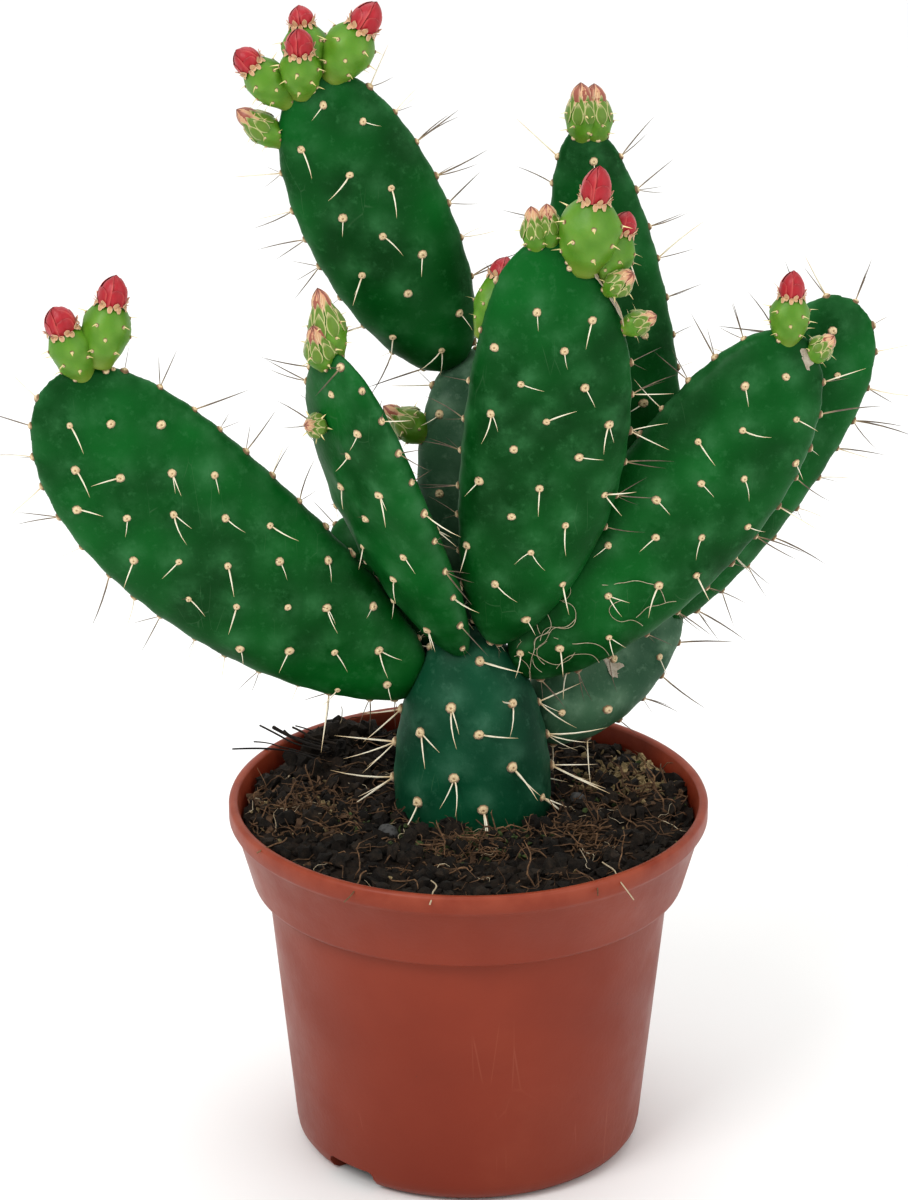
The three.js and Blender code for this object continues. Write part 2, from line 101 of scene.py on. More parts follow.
def set_studio():
    bpy.context.scene.view_settings.view_transform = "Standard"
    bpy.context.scene.view_settings.look = "Medium High Contrast"
    world = bpy.data.worlds.new("studio_air")
    bpy.context.scene.world = world
    world.use_nodes = True
    background = world.node_tree.nodes["Background"]
    background.inputs["Color"].default_value = (1, 1, 1, 1)
    background.inputs["Strength"].default_value = 0.75
    add_softbox("key_softbox", (-0.9, -1.1, 1.5), 0.8, 14)
    add_softbox("fill_softbox", (1.2, -0.9, 0.8), 1.0, 4)
    add_softbox("top_softbox", (0.1, 0.5, 1.6), 1.0, 6)
    bpy.ops.mesh.primitive_plane_add(size=6, location=(0, 0, 0))
    floor = bpy.context.object
    floor.name = "studio_floor"
    floor.data.materials.append(FINISH["floor"])


# ---------------------------------------------------------------- material building

class Recipe:
    """A material under construction: its node tree, with short calls that add and join nodes."""

    def __init__(self, name, roughness=0.5, ior=1.45):
        self.material = bpy.data.materials.new(name)
        self.material.use_nodes = True
        self.tree = self.material.node_tree
        self.shader = self.tree.nodes["Principled BSDF"]
        self.shader.inputs["Roughness"].default_value = roughness
        self.shader.inputs["IOR"].default_value = ior
        self.place = self.tree.nodes.new("ShaderNodeTexCoord").outputs["Object"]

    def join(self, source, socket):
        if isinstance(source, (int, float)):
            socket.default_value = source
        elif isinstance(source, tuple):
            socket.default_value = (*source, 1)
        else:
            self.tree.links.new(source, socket)

    def attribute(self, name):
        node = self.tree.nodes.new("ShaderNodeAttribute")
        node.attribute_name = name
        return node.outputs["Fac"]

    def stretched(self, scale, turn=(0, 0, 0)):
        """Object coordinates, stretched so that a pattern gets a grain."""
        node = self.tree.nodes.new("ShaderNodeMapping")
        node.inputs["Scale"].default_value = scale
        node.inputs["Rotation"].default_value = turn
        self.join(self.place, node.inputs["Vector"])
        return node.outputs["Vector"]

    def cloud(self, scale, detail=3, rough=0.5, place=None):
        node = self.tree.nodes.new("ShaderNodeTexNoise")
        node.inputs["Scale"].default_value = scale
        node.inputs["Detail"].default_value = detail
        node.inputs["Roughness"].default_value = rough
        self.join(place or self.place, node.inputs["Vector"])
        return node.outputs["Fac"]

    def cells(self, scale, feature="F1", place=None):
        node = self.tree.nodes.new("ShaderNodeTexVoronoi")
        node.feature = feature
        node.inputs["Scale"].default_value = scale
        self.join(place or self.place, node.inputs["Vector"])
        return node.outputs["Distance"]

    def ramp(self, source, low, high, start=0.0, end=1.0):
        """Maps a value between low and high to one between start and end."""
        node = self.tree.nodes.new("ShaderNodeMapRange")
        for socket, value in (("From Min", low), ("From Max", high), ("To Min", start), ("To Max", end)):
            node.inputs[socket].default_value = value
        self.join(source, node.inputs["Value"])
        return node.outputs["Result"]

    def times(self, first, second):
        node = self.tree.nodes.new("ShaderNodeMath")
        node.operation = "MULTIPLY"
        self.join(first, node.inputs[0])
        self.join(second, node.inputs[1])
        return node.outputs["Value"]

    def mix(self, share, first, second):
        node = self.tree.nodes.new("ShaderNodeMix")
        node.data_type = "RGBA"
        self.join(share, node.inputs["Factor"])
        colour_a, colour_b = node.inputs[6], node.inputs[7]
        self.join(first, colour_a)
        self.join(second, colour_b)
        return node.outputs[2]

    def height(self):
        node = self.tree.nodes.new("ShaderNodeSeparateXYZ")
        self.join(self.place, node.inputs["Vector"])
        return node.outputs["Z"]

    def colour(self, source):
        self.join(source, self.shader.inputs["Base Color"])

    def rough(self, source):
        self.join(source, self.shader.inputs["Roughness"])

    def bump(self, source, distance, strength=1.0):
        node = self.tree.nodes.new("ShaderNodeBump")
        node.inputs["Distance"].default_value = distance
        node.inputs["Strength"].default_value = strength
        self.join(source, node.inputs["Height"])
        self.tree.links.new(node.outputs["Normal"], self.shader.inputs["Normal"])


def floor_finish():
    recipe = Recipe("pale_floor", 0.9)
    recipe.colour(recipe.mix(recipe.cloud(3), (0.86, 0.86, 0.85), (0.9, 0.9, 0.89)))
    return recipe.material


def skin_finish(name, deep, fresh, pale):
    """Waxy pad skin: cloudy greens, paler along the margin, with a painted highlight round the areoles
    where their raised pillows catch the light.
    """
    recipe = Recipe(name, 0.42)
    clouds = recipe.ramp(recipe.cloud(38, 2), 0.35, 0.68)
    green = recipe.mix(clouds, deep, fresh)
    flecks = recipe.ramp(recipe.cloud(420, 3, 0.7), 0.56, 0.8, 0, 0.5)
    green = recipe.mix(flecks, green, pale)
    # Painted highlight: paler round each areole, where its raised pillow catches the light.
    mottle = recipe.ramp(recipe.cloud(150, 4, 0.6), 0.35, 0.7)
    halo = recipe.times(recipe.times(recipe.attribute("halo"), mottle), 0.9)
    green = recipe.mix(halo, green, pale)
    margin = recipe.times(recipe.attribute("margin"), 0.35)
    green = recipe.mix(margin, green, pale)
    grain = recipe.stretched((1, 1, 0.16), (0.3, 0.5, 0))
    scratches = recipe.ramp(recipe.cells(230, "DISTANCE_TO_EDGE", grain), 0.012, 0.0, 0, 1)
    rare = recipe.ramp(recipe.cloud(60, 2), 0.6, 0.66)
    green = recipe.mix(recipe.times(recipe.times(scratches, rare), 0.3), green, (0.1, 0.19, 0.1))
    recipe.colour(green)
    recipe.rough(recipe.ramp(recipe.cloud(90, 3), 0.3, 0.7, 0.42, 0.58))
    recipe.shader.inputs["Specular IOR Level"].default_value = 0.15
    recipe.bump(recipe.cloud(520, 4, 0.65), 0.00035, 0.35)
    recipe.shader.inputs["Coat Weight"].default_value = 0.05
    recipe.shader.inputs["Coat Roughness"].default_value = 0.3
    return recipe.material


def bud_finish():
    """Fresh yellow-green skin of a seed vessel, paler at its foot."""
    recipe = Recipe("bud_skin", 0.45)
    green = recipe.mix(recipe.cloud(260, 3), (0.06, 0.18, 0.006), (0.11, 0.27, 0.014))
    green = recipe.mix(recipe.ramp(recipe.attribute("reach"), 0.35, 0.0), green, (0.2, 0.27, 0.04))
    green = recipe.mix(recipe.times(recipe.attribute("halo"), 0.5), green, (0.21, 0.37, 0.06))
    recipe.colour(green)
    recipe.bump(recipe.cloud(900, 3), 0.0002, 0.4)
    recipe.shader.inputs["Subsurface Weight"].default_value = 0.08
    recipe.shader.inputs["Subsurface Scale"].default_value = 0.003
    return recipe.material


def petal_finish(name, body, edge, tip):
    """Thin petals: deeper in the middle, paler along their edges."""
    recipe = Recipe(name, 0.42)
    vein = recipe.stretched((1, 1, 0.2))
    shade = recipe.mix(recipe.cloud(900, 3, 0.6, vein), body, tuple(0.7 * value for value in body))
    shade = recipe.mix(recipe.ramp(recipe.attribute("rim"), 0.55, 1.0, 0, 0.8), shade, edge)
    shade = recipe.mix(recipe.ramp(recipe.attribute("reach"), 0.75, 1.0, 0, 0.7), shade, tip)
    recipe.colour(shade)
    recipe.bump(recipe.cloud(1400, 3, 0.6, vein), 0.0002, 0.5)
    recipe.shader.inputs["Sheen Weight"].default_value = 0.2
    return recipe.material


def areole_finish():
    """Felt tufts: cream and tan wool round a brown heart, with painted shade on their lower side and a
    dark painted shadow round their foot.
    """
    recipe = Recipe("areole_felt", 0.9)
    reach = recipe.attribute("reach")
    wool = recipe.mix(recipe.cloud(1500, 3), (0.56, 0.38, 0.19), (0.84, 0.7, 0.46))
    # Painted shade on the lower side of each tuft.
    wool = recipe.mix(recipe.ramp(recipe.attribute("rim"), 0.3, 0.85, 0, 0.8), wool, (0.24, 0.1, 0.035))
    # Painted shadow: dark brown round the foot of each tuft, where it meets the skin.
    wool = recipe.mix(recipe.ramp(reach, 0.3, 0.04, 0, 0.85), wool, (0.12, 0.055, 0.02))
    wool = recipe.mix(recipe.ramp(reach, 0.74, 0.9, 0, 0.7), wool, (0.16, 0.07, 0.025))
    wool = recipe.mix(recipe.ramp(recipe.cloud(2600, 2), 0.6, 0.7, 0, 0.6), wool, (0.2, 0.09, 0.04))
    recipe.colour(wool)
    recipe.bump(recipe.cloud(3200, 2), 0.0003, 0.7)
    recipe.shader.inputs["Sheen Weight"].default_value = 0.3
    return recipe.material


def spine_finish(name, foot, middle, tip):
    recipe = Recipe(name, 0.4)
    reach = recipe.attribute("reach")
    shade = recipe.mix(recipe.ramp(reach, 0.0, 0.3), foot, middle)
    shade = recipe.mix(recipe.ramp(reach, 0.6, 1.0), shade, tip)
    shade = recipe.mix(recipe.ramp(recipe.cloud(700, 2), 0.5, 0.8, 0, 0.35), shade, foot)
    recipe.colour(shade)
    return recipe.material


def pot_finish():
    """Satin terracotta-coloured plastic with specks, faint scratches, paler patches along the lip and
    painted shade towards its foot.
    """
    recipe = Recipe("pot_plastic", 0.4, 1.49)
    clouds = recipe.ramp(recipe.cloud(28, 4), 0.3, 0.7)
    clay = recipe.mix(clouds, (0.19, 0.026, 0.009), (0.235, 0.037, 0.014))
    # Painted shade: darker towards the bottom of the pot.
    clay = recipe.mix(recipe.ramp(recipe.height(), 0.0, 0.075, 0.45, 0), clay, (0.16, 0.021, 0.007))
    # Paler patches along the lip.
    near_lip = recipe.ramp(recipe.height(), 0.0865, 0.092)
    lip_patches = recipe.times(near_lip, recipe.ramp(recipe.cloud(120, 3), 0.25, 0.6))
    clay = recipe.mix(recipe.times(lip_patches, 0.55), clay, (0.34, 0.08, 0.04))
    dust = recipe.ramp(recipe.cloud(16, 5, 0.65), 0.55, 0.75, 0, 0.25)
    clay = recipe.mix(dust, clay, (0.27, 0.07, 0.035))
    specks = recipe.ramp(recipe.cells(260), 0.06, 0.035)
    sparse = recipe.ramp(recipe.cloud(90, 2), 0.56, 0.6)
    clay = recipe.mix(recipe.times(recipe.times(specks, sparse), 0.75), clay, (0.09, 0.03, 0.02))
    grain = recipe.stretched((1, 1, 0.08))
    hair = recipe.ramp(recipe.cells(85, "DISTANCE_TO_EDGE", grain), 0.006, 0.0)
    rare = recipe.ramp(recipe.cloud(34, 2), 0.58, 0.64)
    clay = recipe.mix(recipe.times(recipe.times(hair, rare), 0.1), clay, (0.55, 0.26, 0.18))
    recipe.colour(clay)
    recipe.rough(recipe.ramp(recipe.cloud(70, 4, 0.6), 0.3, 0.7, 0.33, 0.5))
    recipe.shader.inputs["Specular IOR Level"].default_value = 0.34
    recipe.bump(recipe.cloud(900, 3, 0.6), 0.00012, 0.35)
    return recipe.material


def crumb_finish(name, dark, light, scale=420, roughness=0.95):
    """Crumbly or fibrous matter whose shade also changes from piece to piece."""
    recipe = Recipe(name, roughness)
    shade = recipe.mix(recipe.ramp(recipe.cloud(scale, 4, 0.65), 0.3, 0.72), dark, light)
    shade = recipe.mix(recipe.times(recipe.attribute("shade"), 0.7), shade, dark)
    recipe.colour(shade)
    recipe.bump(recipe.cloud(2.2 * scale, 4, 0.7), 0.0005, 0.8)
    return recipe.material


def stone_finish():
    recipe = Recipe("grey_grit", 0.75)
    grain = recipe.ramp(recipe.cells(900), 0.1, 0.5)
    shade = recipe.mix(grain, (0.035, 0.034, 0.034), (0.085, 0.083, 0.08))
    stain = recipe.ramp(recipe.cloud(300, 4), 0.5, 0.7, 0, 0.5)
    recipe.colour(recipe.mix(stain, shade, (0.02, 0.018, 0.016)))
    recipe.bump(recipe.cloud(1300, 4, 0.7), 0.0004, 0.8)
    return recipe.material


FINISH = {
    "floor": floor_finish(),
    "young_pad_skin": skin_finish(
        "young_pad_skin", (0.0, 0.046, 0.005), (0.001, 0.108, 0.014), (0.04, 0.165, 0.058)),
    "old_pad_skin": skin_finish(
        "old_pad_skin", (0.002, 0.04, 0.018), (0.004, 0.085, 0.036), (0.05, 0.15, 0.09)),
    "hazy_pad_skin": skin_finish(
        "hazy_pad_skin", (0.026, 0.082, 0.042), (0.066, 0.152, 0.082), (0.17, 0.27, 0.18)),
    "bud_skin": bud_finish(),
    "red_petal": petal_finish(
        "red_petal", (0.43, 0.01, 0.022), (0.54, 0.085, 0.075), (0.27, 0.016, 0.02)),
    "brown_petal": petal_finish(
        "brown_petal", (0.36, 0.11, 0.07), (0.6, 0.36, 0.22), (0.1, 0.03, 0.02)),
    "bud_scale": petal_finish(
        "bud_scale", (0.66, 0.4, 0.22), (0.8, 0.64, 0.42), (0.58, 0.2, 0.14)),
    "green_scale": petal_finish(
        "green_scale", (0.13, 0.24, 0.02), (0.68, 0.6, 0.32), (0.66, 0.5, 0.3)),
    "horn": spine_finish("horn_scale", (0.55, 0.42, 0.16), (0.76, 0.66, 0.34), (0.62, 0.45, 0.2)),
    "areole": areole_finish(),
    "ivory_spine": spine_finish(
        "ivory_spine", (0.6, 0.42, 0.2), (0.85, 0.78, 0.62), (0.7, 0.5, 0.26)),
    # Painted shade: ivory margin spines darkened to the dark look that shadowed spines have against a
    # pale ground. The short stubs on the faces take it too.
    "dark_spine": spine_finish(
        "dark_spine", (0.46, 0.34, 0.2), (0.13, 0.095, 0.07), (0.06, 0.04, 0.03)),
    "pot_plastic": pot_finish(),
    "peat": crumb_finish("peat", (0.003, 0.002, 0.0015), (0.03, 0.017, 0.009)),
    "clod": crumb_finish("peat_clod", (0.003, 0.0025, 0.002), (0.044, 0.029, 0.018), 600),
    "fibre": crumb_finish("brown_fibre", (0.045, 0.022, 0.01), (0.3, 0.17, 0.085), 800, 0.75),
    "pale_fibre": crumb_finish("pale_root", (0.38, 0.3, 0.19), (0.66, 0.58, 0.44), 800, 0.7),
    "chip": crumb_finish("bark_chip", (0.05, 0.026, 0.014), (0.2, 0.12, 0.065), 500, 0.85),
    "flake": crumb_finish("moss_flake", (0.1, 0.075, 0.03), (0.58, 0.43, 0.23), 900, 0.8),
    "green_moss": crumb_finish("green_moss", (0.02, 0.032, 0.008), (0.12, 0.165, 0.05), 900, 0.85),
    "pebble": stone_finish(),
    "cork": crumb_finish("corky_scar", (0.3, 0.25, 0.18), (0.62, 0.57, 0.48), 700, 0.8),
}


# ---------------------------------------------------------------- making and finishing a mesh

def pick_only(piece):
    for other in bpy.context.selected_objects:
        other.select_set(False)
    piece.select_set(True)
    bpy.context.view_layer.objects.active = piece


def new_piece(name, mesh):
    piece = bpy.data.objects.new(name, mesh)
    bpy.context.collection.objects.link(piece)
    pick_only(piece)
    return piece


def start_editing():
    bpy.ops.object.mode_set(mode="EDIT")
    bpy.ops.mesh.select_all(action="SELECT")


def turn_outward():
    """Faces every side of the piece being edited outward, and ends the editing."""
    bpy.ops.mesh.select_all(action="SELECT")
    bpy.ops.mesh.normals_make_consistent(inside=False)
    bpy.ops.object.mode_set(mode="OBJECT")


def solid_copy(node, name):
    """A piece with a frame solid's shape, its loose triangles merged into one surface."""
    piece = new_piece(name, NODES[node].data.copy())
    piece.data.materials.clear()
    start_editing()
    bpy.ops.mesh.remove_doubles(threshold=MERGE_DISTANCE)
    bpy.ops.mesh.tris_convert_to_quads()
    bpy.ops.object.mode_set(mode="OBJECT")
    return piece


def modify(piece, kind, **settings):
    """Adds a modifier and applies it."""
    pick_only(piece)
    modifier = piece.modifiers.new(kind.lower(), kind)
    for key, value in settings.items():
        setattr(modifier, key, value)
    bpy.ops.object.modifier_apply(modifier=modifier.name)


def corners(mesh):
    found = np.empty(3 * len(mesh.vertices))
    mesh.vertices.foreach_get("co", found)
    return found.reshape(-1, 3)


def normals(mesh):
    found = np.empty(3 * len(mesh.vertices))
    mesh.vertex_normals.foreach_get("vector", found)
    return found.reshape(-1, 3)


def move_corners(mesh, places):
    mesh.vertices.foreach_set("co", np.asarray(places, float).ravel())
    mesh.update()


def mark(mesh, name, values):
    """A value for each corner that the finish reads."""
    layer = mesh.attributes.new(name, "FLOAT", "POINT")
    layer.data.foreach_set("value", np.asarray(values, np.float32))


def tree_of(piece):
    return BVHTree.FromPolygons(
        [vertex.co for vertex in piece.data.vertices],
        [list(polygon.vertices) for polygon in piece.data.polygons])


def finished(piece, slot, *nodes, finishes=None):
    """Finishes a piece: gives it its finishes (the slot's own finish if none are listed), sets it on its
    body and hides the solids that it stands for.
    """
    for finish in finishes or [slot]:
        piece.data.materials.append(FINISH[finish])
    pick_only(piece)
    bpy.ops.object.shade_smooth_by_angle(angle=math.radians(50))
    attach(piece, ROOT)
    if nodes:
        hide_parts(*nodes)
    return piece


class Pattern:
    """A small shape modelled once: corners, faces, how far out each corner is and its face UVs."""

    def __init__(self, piece, reach, rim=None):
        mesh = piece.data
        self.points = corners(mesh)
        self.faces = [np.array(polygon.vertices) for polygon in mesh.polygons]
        self.reach = np.asarray(reach(self.points))
        self.rim = np.asarray(rim(self.points)) if rim else np.zeros(len(self.points))
        turn = np.arctan2(self.points[:, 1], self.points[:, 0]) / (2 * math.pi) + 0.5
        self.uvs = [np.stack([turn[face], self.reach[face]], 1) for face in self.faces]
        bpy.data.objects.remove(piece)


def copies_of(name, patterns, placements):
    """One piece of many copies. Each placement is (pattern, matrix, finish number)."""
    points, faces, reach, rim, shade, uvs, finish, start = [], [], [], [], [], [], [], 0
    for number, matrix, which in placements:
        pattern = patterns[number]
        turn = np.array(matrix)[:3, :3]
        points.append(pattern.points @ turn.T + np.array(matrix)[:3, 3])
        flip = np.linalg.det(turn) < 0
        for face, uv in zip(pattern.faces, pattern.uvs):
            faces.append((face[::-1] if flip else face) + start)
            uvs.append(uv[::-1] if flip else uv)
            finish.append(which)
        reach.append(pattern.reach)
        rim.append(pattern.rim)
        shade.append(np.full(len(pattern.points), dice.random()))
        start += len(pattern.points)
    mesh = bpy.data.meshes.new(name)
    mesh.from_pydata(np.concatenate(points).tolist(), [], [face.tolist() for face in faces])
    mesh.polygons.foreach_set("material_index", finish)
    layer = mesh.uv_layers.new(name="OFBake")
    layer.data.foreach_set("uv", np.concatenate(uvs).ravel())
    mark(mesh, "reach", np.concatenate(reach))
    mark(mesh, "rim", np.concatenate(rim))
    mark(mesh, "shade", np.concatenate(shade))
    mesh.update()
    return new_piece(name, mesh)


def stand(place, normal, spin, size):
    """A matrix that stands a pattern's z axis along a normal at a place."""
    turn = Vector(normal).to_track_quat("Z", "Y").to_matrix().to_4x4()
    return Matrix.Translation(place) @ turn @ Matrix.Rotation(spin, 4, "Z") @ Matrix.Scale(size, 4)


def upright(place, normal, upward, size):
    """A matrix that stands a pattern on a normal with its y axis as nearly upward as it can be."""
    x = Vector(upward).cross(normal).normalized()
    turn = Matrix((x, Vector(normal).cross(x), normal)).transposed().to_4x4()
    breadth = size * dice.uniform(0.85, 1.15)
    return Matrix.Translation(place) @ turn @ Matrix.Diagonal((breadth, size, size, 1))


def aim(place, direction, upward, length, girth):
    """A matrix that lays a stalk's z axis along a direction with its bend towards upward."""
    z = Vector(direction).normalized()
    x = Vector(upward).cross(z).normalized()
    turn = Matrix((x, z.cross(x), z)).transposed().to_4x4()
    wide = girth * length
    return Matrix.Translation(place) @ turn @ Matrix.Diagonal((wide, wide, length, 1))


# ---------------------------------------------------------------- patterns

def extruded_stalk(sides, widths, slim, bend):
    """A tapered stalk of unit length along z, extruded ring by ring and bent towards +Y."""
    steps = len(widths) - 1
    bpy.ops.mesh.primitive_circle_add(vertices=sides, radius=slim * widths[0], fill_type="NGON")
    stalk = bpy.context.object
    bpy.ops.object.mode_set(mode="EDIT")
    middle = 0.0
    for step in range(1, steps + 1):
        share = widths[step] / widths[step - 1]
        lean = 2 * bend * step / steps ** 2
        middle += lean
        bpy.ops.mesh.extrude_region_move(TRANSFORM_OT_translate={"value": (0, lean, 1 / steps)})
        bpy.ops.transform.resize(value=(share, share, 1), center_override=(0, middle, step / steps))
    turn_outward()
    return stalk


def rise_of(points):
    return np.clip(points[:, 2], 0, 1)


DRIFT_SHIFTS = [Vector(shift) for shift in ((9.3, -1.6, -7.9), (2.4, 6.7, 0.35), (5.1, 8.3, 3.7))]


def drift(place):
    """A smooth push along each axis, the same for a place on every run."""
    return np.array([noise.noise(place + shift) for shift in DRIFT_SHIFTS])


def spine_patterns():
    """Needles, thickest just above the foot: one straight and two gently curved."""
    widths = (0.8, 1.0, 0.85, 0.6, 0.12)
    return [Pattern(extruded_stalk(5, widths, 0.034, bend), rise_of) for bend in (0.05, 0.2, 0.36)]


def fibre_patterns():
    """Six crooked fibres of unit length along z."""
    made = []
    for seed in range(6):
        fibre = extruded_stalk(4, (0.7, 1, 1, 0.9, 1, 0.8, 0.7, 0.35), 0.018, 0.0)
        points = corners(fibre.data)
        for index, point in enumerate(points):
            shake = drift(Vector((7.3 * seed, 1.7 * seed, 1.9 * point[2])))
            points[index, :2] += 0.42 * shake[:2] * min(1, 3 * point[2])
        move_corners(fibre.data, points)
        made.append(Pattern(fibre, rise_of))
    return made


def areole_pattern():
    """A felt cushion: an uneven dome, sunk in the middle, with its lower side marked for painted shade.
    """
    rings = ((0.85, -0.3), (1.0, 0.12), (0.88, 0.45), (0.62, 0.72), (0.34, 0.82), (0.1, 0.7))
    bpy.ops.mesh.primitive_circle_add(vertices=9, radius=rings[0][0], fill_type="NGON",
                                      location=(0, 0, rings[0][1]))
    bpy.ops.object.transform_apply(location=True)
    dome = bpy.context.object
    bpy.ops.object.mode_set(mode="EDIT")
    for (before, low), (after, high) in zip(rings, rings[1:]):
        bpy.ops.mesh.extrude_region_move(TRANSFORM_OT_translate={"value": (0, 0, high - low)})
        share = after / before
        bpy.ops.transform.resize(value=(share, share, 1), center_override=(0, 0, high))
    turn_outward()
    points = corners(dome.data)
    for index, point in enumerate(points):
        points[index] = point * (1 + 0.22 * noise.noise(1.3 * Vector(point)))
    move_corners(dome.data, points)
    # rim here marks the lower side of the tuft, where the finish paints shade.
    return Pattern(dome, lambda found: np.clip(1 - np.hypot(found[:, 0], found[:, 1]), 0, 1),
                   lambda found: np.clip(0.35 - 0.75 * found[:, 1] - 0.35 * found[:, 2], 0, 1))


def lump_pattern(seed, detail, flatness, roughness):
    """An uneven crumb of unit radius."""
    bpy.ops.mesh.primitive_ico_sphere_add(subdivisions=detail, radius=1)
    lump = bpy.context.object
    shift = Vector((seed, 2 * seed, 3 * seed))
    points = corners(lump.data)
    for index, point in enumerate(points):
        swell = 1 + roughness * noise.noise(1.4 * Vector(point) + shift)
        swell += 0.5 * roughness * noise.noise(3.1 * Vector(point) + shift)
        points[index] = swell * point * np.array((1, 1, flatness))
    move_corners(lump.data, points)
    return Pattern(lump, lambda found: 0.5 + 0.5 * found[:, 2])


def chip_pattern(seed):
    """A splinter of bark: a slab with bevelled, broken edges."""
    bpy.ops.mesh.primitive_cube_add(size=1)
    chip = bpy.context.object
    bpy.ops.object.mode_set(mode="EDIT")
    bpy.ops.mesh.subdivide(number_cuts=1)
    bpy.ops.object.mode_set(mode="OBJECT")
    points = corners(chip.data) * np.array((2.0, 1.0, 0.32))
    for index, point in enumerate(points):
        shake = drift(2.3 * Vector(point) + Vector((seed, 0, 7 * seed)))
        points[index] = point + 0.45 * shake * np.array((1, 0.8, 0.35))
    move_corners(chip.data, points)
    return Pattern(chip, lambda found: np.clip(0.5 + 0.25 * found[:, 0], 0, 1))


def shell_patterns():
    """Blades that lie on a bud: a broad petal and a pointed scale. across and rise run over the
    blade, width is its breadth at each rise and lift is the side of its thickness."""
    made = {}
    for name in ("petal", "scale"):
        bpy.ops.mesh.primitive_grid_add(x_subdivisions=6, y_subdivisions=9, size=2)
        blade = bpy.context.object
        modify(blade, "SOLIDIFY", thickness=0.05, offset=0)
        points = corners(blade.data)
        rise = np.clip(0.5 * (points[:, 1] + 1), 0, 1)
        if name == "petal":
            width = np.sqrt(np.clip(1 - np.clip((rise - 0.62) / 0.38, 0, 1) ** 2.4, 0, 1))
        else:
            width = np.sin(np.pi * (0.12 + 0.88 * rise)) ** 0.85
        made[name] = {
            "across": points[:, 0],
            "rise": rise,
            "width": np.maximum(width, 0.04),
            "lift": points[:, 2] / 0.05 * (1 - 0.6 * np.clip(points[:, 0], -1, 1) ** 2),
            "faces": [list(polygon.vertices) for polygon in blade.data.polygons],
        }
        bpy.data.objects.remove(blade)
    return made


# ---------------------------------------------------------------- the pads

class Pad:
    """A pad of the frame: its own axes, found from its solid, and its finished surface."""

    VOXEL = 0.9 * MM
    SWELL = 0.16 * MM  # closes the joints between pads

    def __init__(self, node):
        self.node = node
        self.old = node in OLD_PADS
        self.piece = solid_copy(node, f"{node}_skin")
        mesh = self.piece.data
        middles = np.array([polygon.center for polygon in mesh.polygons])
        areas = np.array([polygon.area for polygon in mesh.polygons])
        centre = (middles * areas[:, None]).sum(0) / areas.sum()
        spread = ((middles - centre) * areas[:, None]).T @ (middles - centre)
        axes = np.linalg.eigh(spread)[1]
        self.axis = Vector(axes[:, 2]) * (1 if axes[2, 2] > 0 else -1)
        self.face = Vector(axes[:, 0]) * (1 if axes[1, 0] < 0 else -1)
        self.side = self.axis.cross(self.face)
        self.smooth()
        self.centre = Vector(centre)
        places = corners(self.piece.data) - centre
        self.low = float((places @ np.array(self.axis)).min())
        self.high = float((places @ np.array(self.axis)).max())
        self.half = float((places @ np.array(self.side)).max())
        self.tree = tree_of(self.piece)
        self.areoles = []  # (place, normal, is on the margin)

    def smooth(self):
        """Rounds the skin, then stretches it back to the solid's own length and breadth."""
        before = corners(self.piece.data)
        modify(self.piece, "SUBSURF", levels=2, render_levels=2)
        modify(self.piece, "REMESH", mode="VOXEL", voxel_size=self.VOXEL)
        modify(self.piece, "SMOOTH", factor=0.5, iterations=7)
        after = corners(self.piece.data)
        moved = after.copy()
        for way in map(np.array, (self.axis, self.side, self.face)):
            old, new = before @ way, after @ way
            share = (new - new.min()) / (new.max() - new.min())
            moved += np.outer(old.min() + share * (old.max() - old.min()) - new, way)
        move_corners(self.piece.data, moved)
        modify(self.piece, "DISPLACE", strength=self.SWELL, mid_level=0)

    def point(self, along, across, out):
        return self.centre + along * self.axis + across * self.side + out * self.face

    def raise_pillows(self):
        """Swells the skin under each areole and marks how near each corner is to one."""
        mesh = self.piece.data
        places, outward = corners(mesh), normals(mesh)
        lift = np.zeros(len(places))
        halo = np.zeros(len(places))
        for place, _, margin in self.areoles:
            away = ((places - np.array(place + 1.5 * MM * self.axis)) ** 2).sum(1)
            lift = np.maximum(lift, np.exp(-away / (3.4 * MM) ** 2) * (0.35 if margin else 0.7))
            halo = np.maximum(halo, np.exp(-away / (4.2 * MM) ** 2))
        move_corners(mesh, places + outward * (lift * MM)[:, None])
        along = (places - np.array(self.centre)) @ np.array(self.axis)
        facing = np.abs(outward @ np.array(self.face))
        tip = np.clip((along - self.low) / (self.high - self.low), 0, 1)
        # halo marks where the skin finish paints a highlight round each areole.
        mark(mesh, "halo", halo)
        mark(mesh, "margin", np.clip(1 - facing * 1.6, 0, 1) * (0.35 + 0.65 * tip))


ROW_STEP = 8.8 * MM  # between two rows of areoles along a pad
COLUMN_STEP = 15 * MM  # between two areoles of a row
MARGIN_STEP = 8.6 * MM
CROWDED = 5.5 * MM  # nearer than this to one on the margin, a face's areole is left out
SOIL_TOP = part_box("soil")[1].z


PAD_GAP, BUD_GAP = 1.4 * MM, 2.4 * MM  # nearer than this, an areole has no room


def is_free(place, pad, pads, bud_trees):
    """Whether a place on a pad's skin is in the open air."""
    if place.z < SOIL_TOP + 0.5 * MM:
        return False
    for other in pads:
        if other is not pad and other.tree.find_nearest(place, PAD_GAP)[0] is not None:
            return False
    return all(tree.find_nearest(place, BUD_GAP)[0] is None for tree in bud_trees)


def shaken(amount):
    return dice.uniform(-amount, amount)


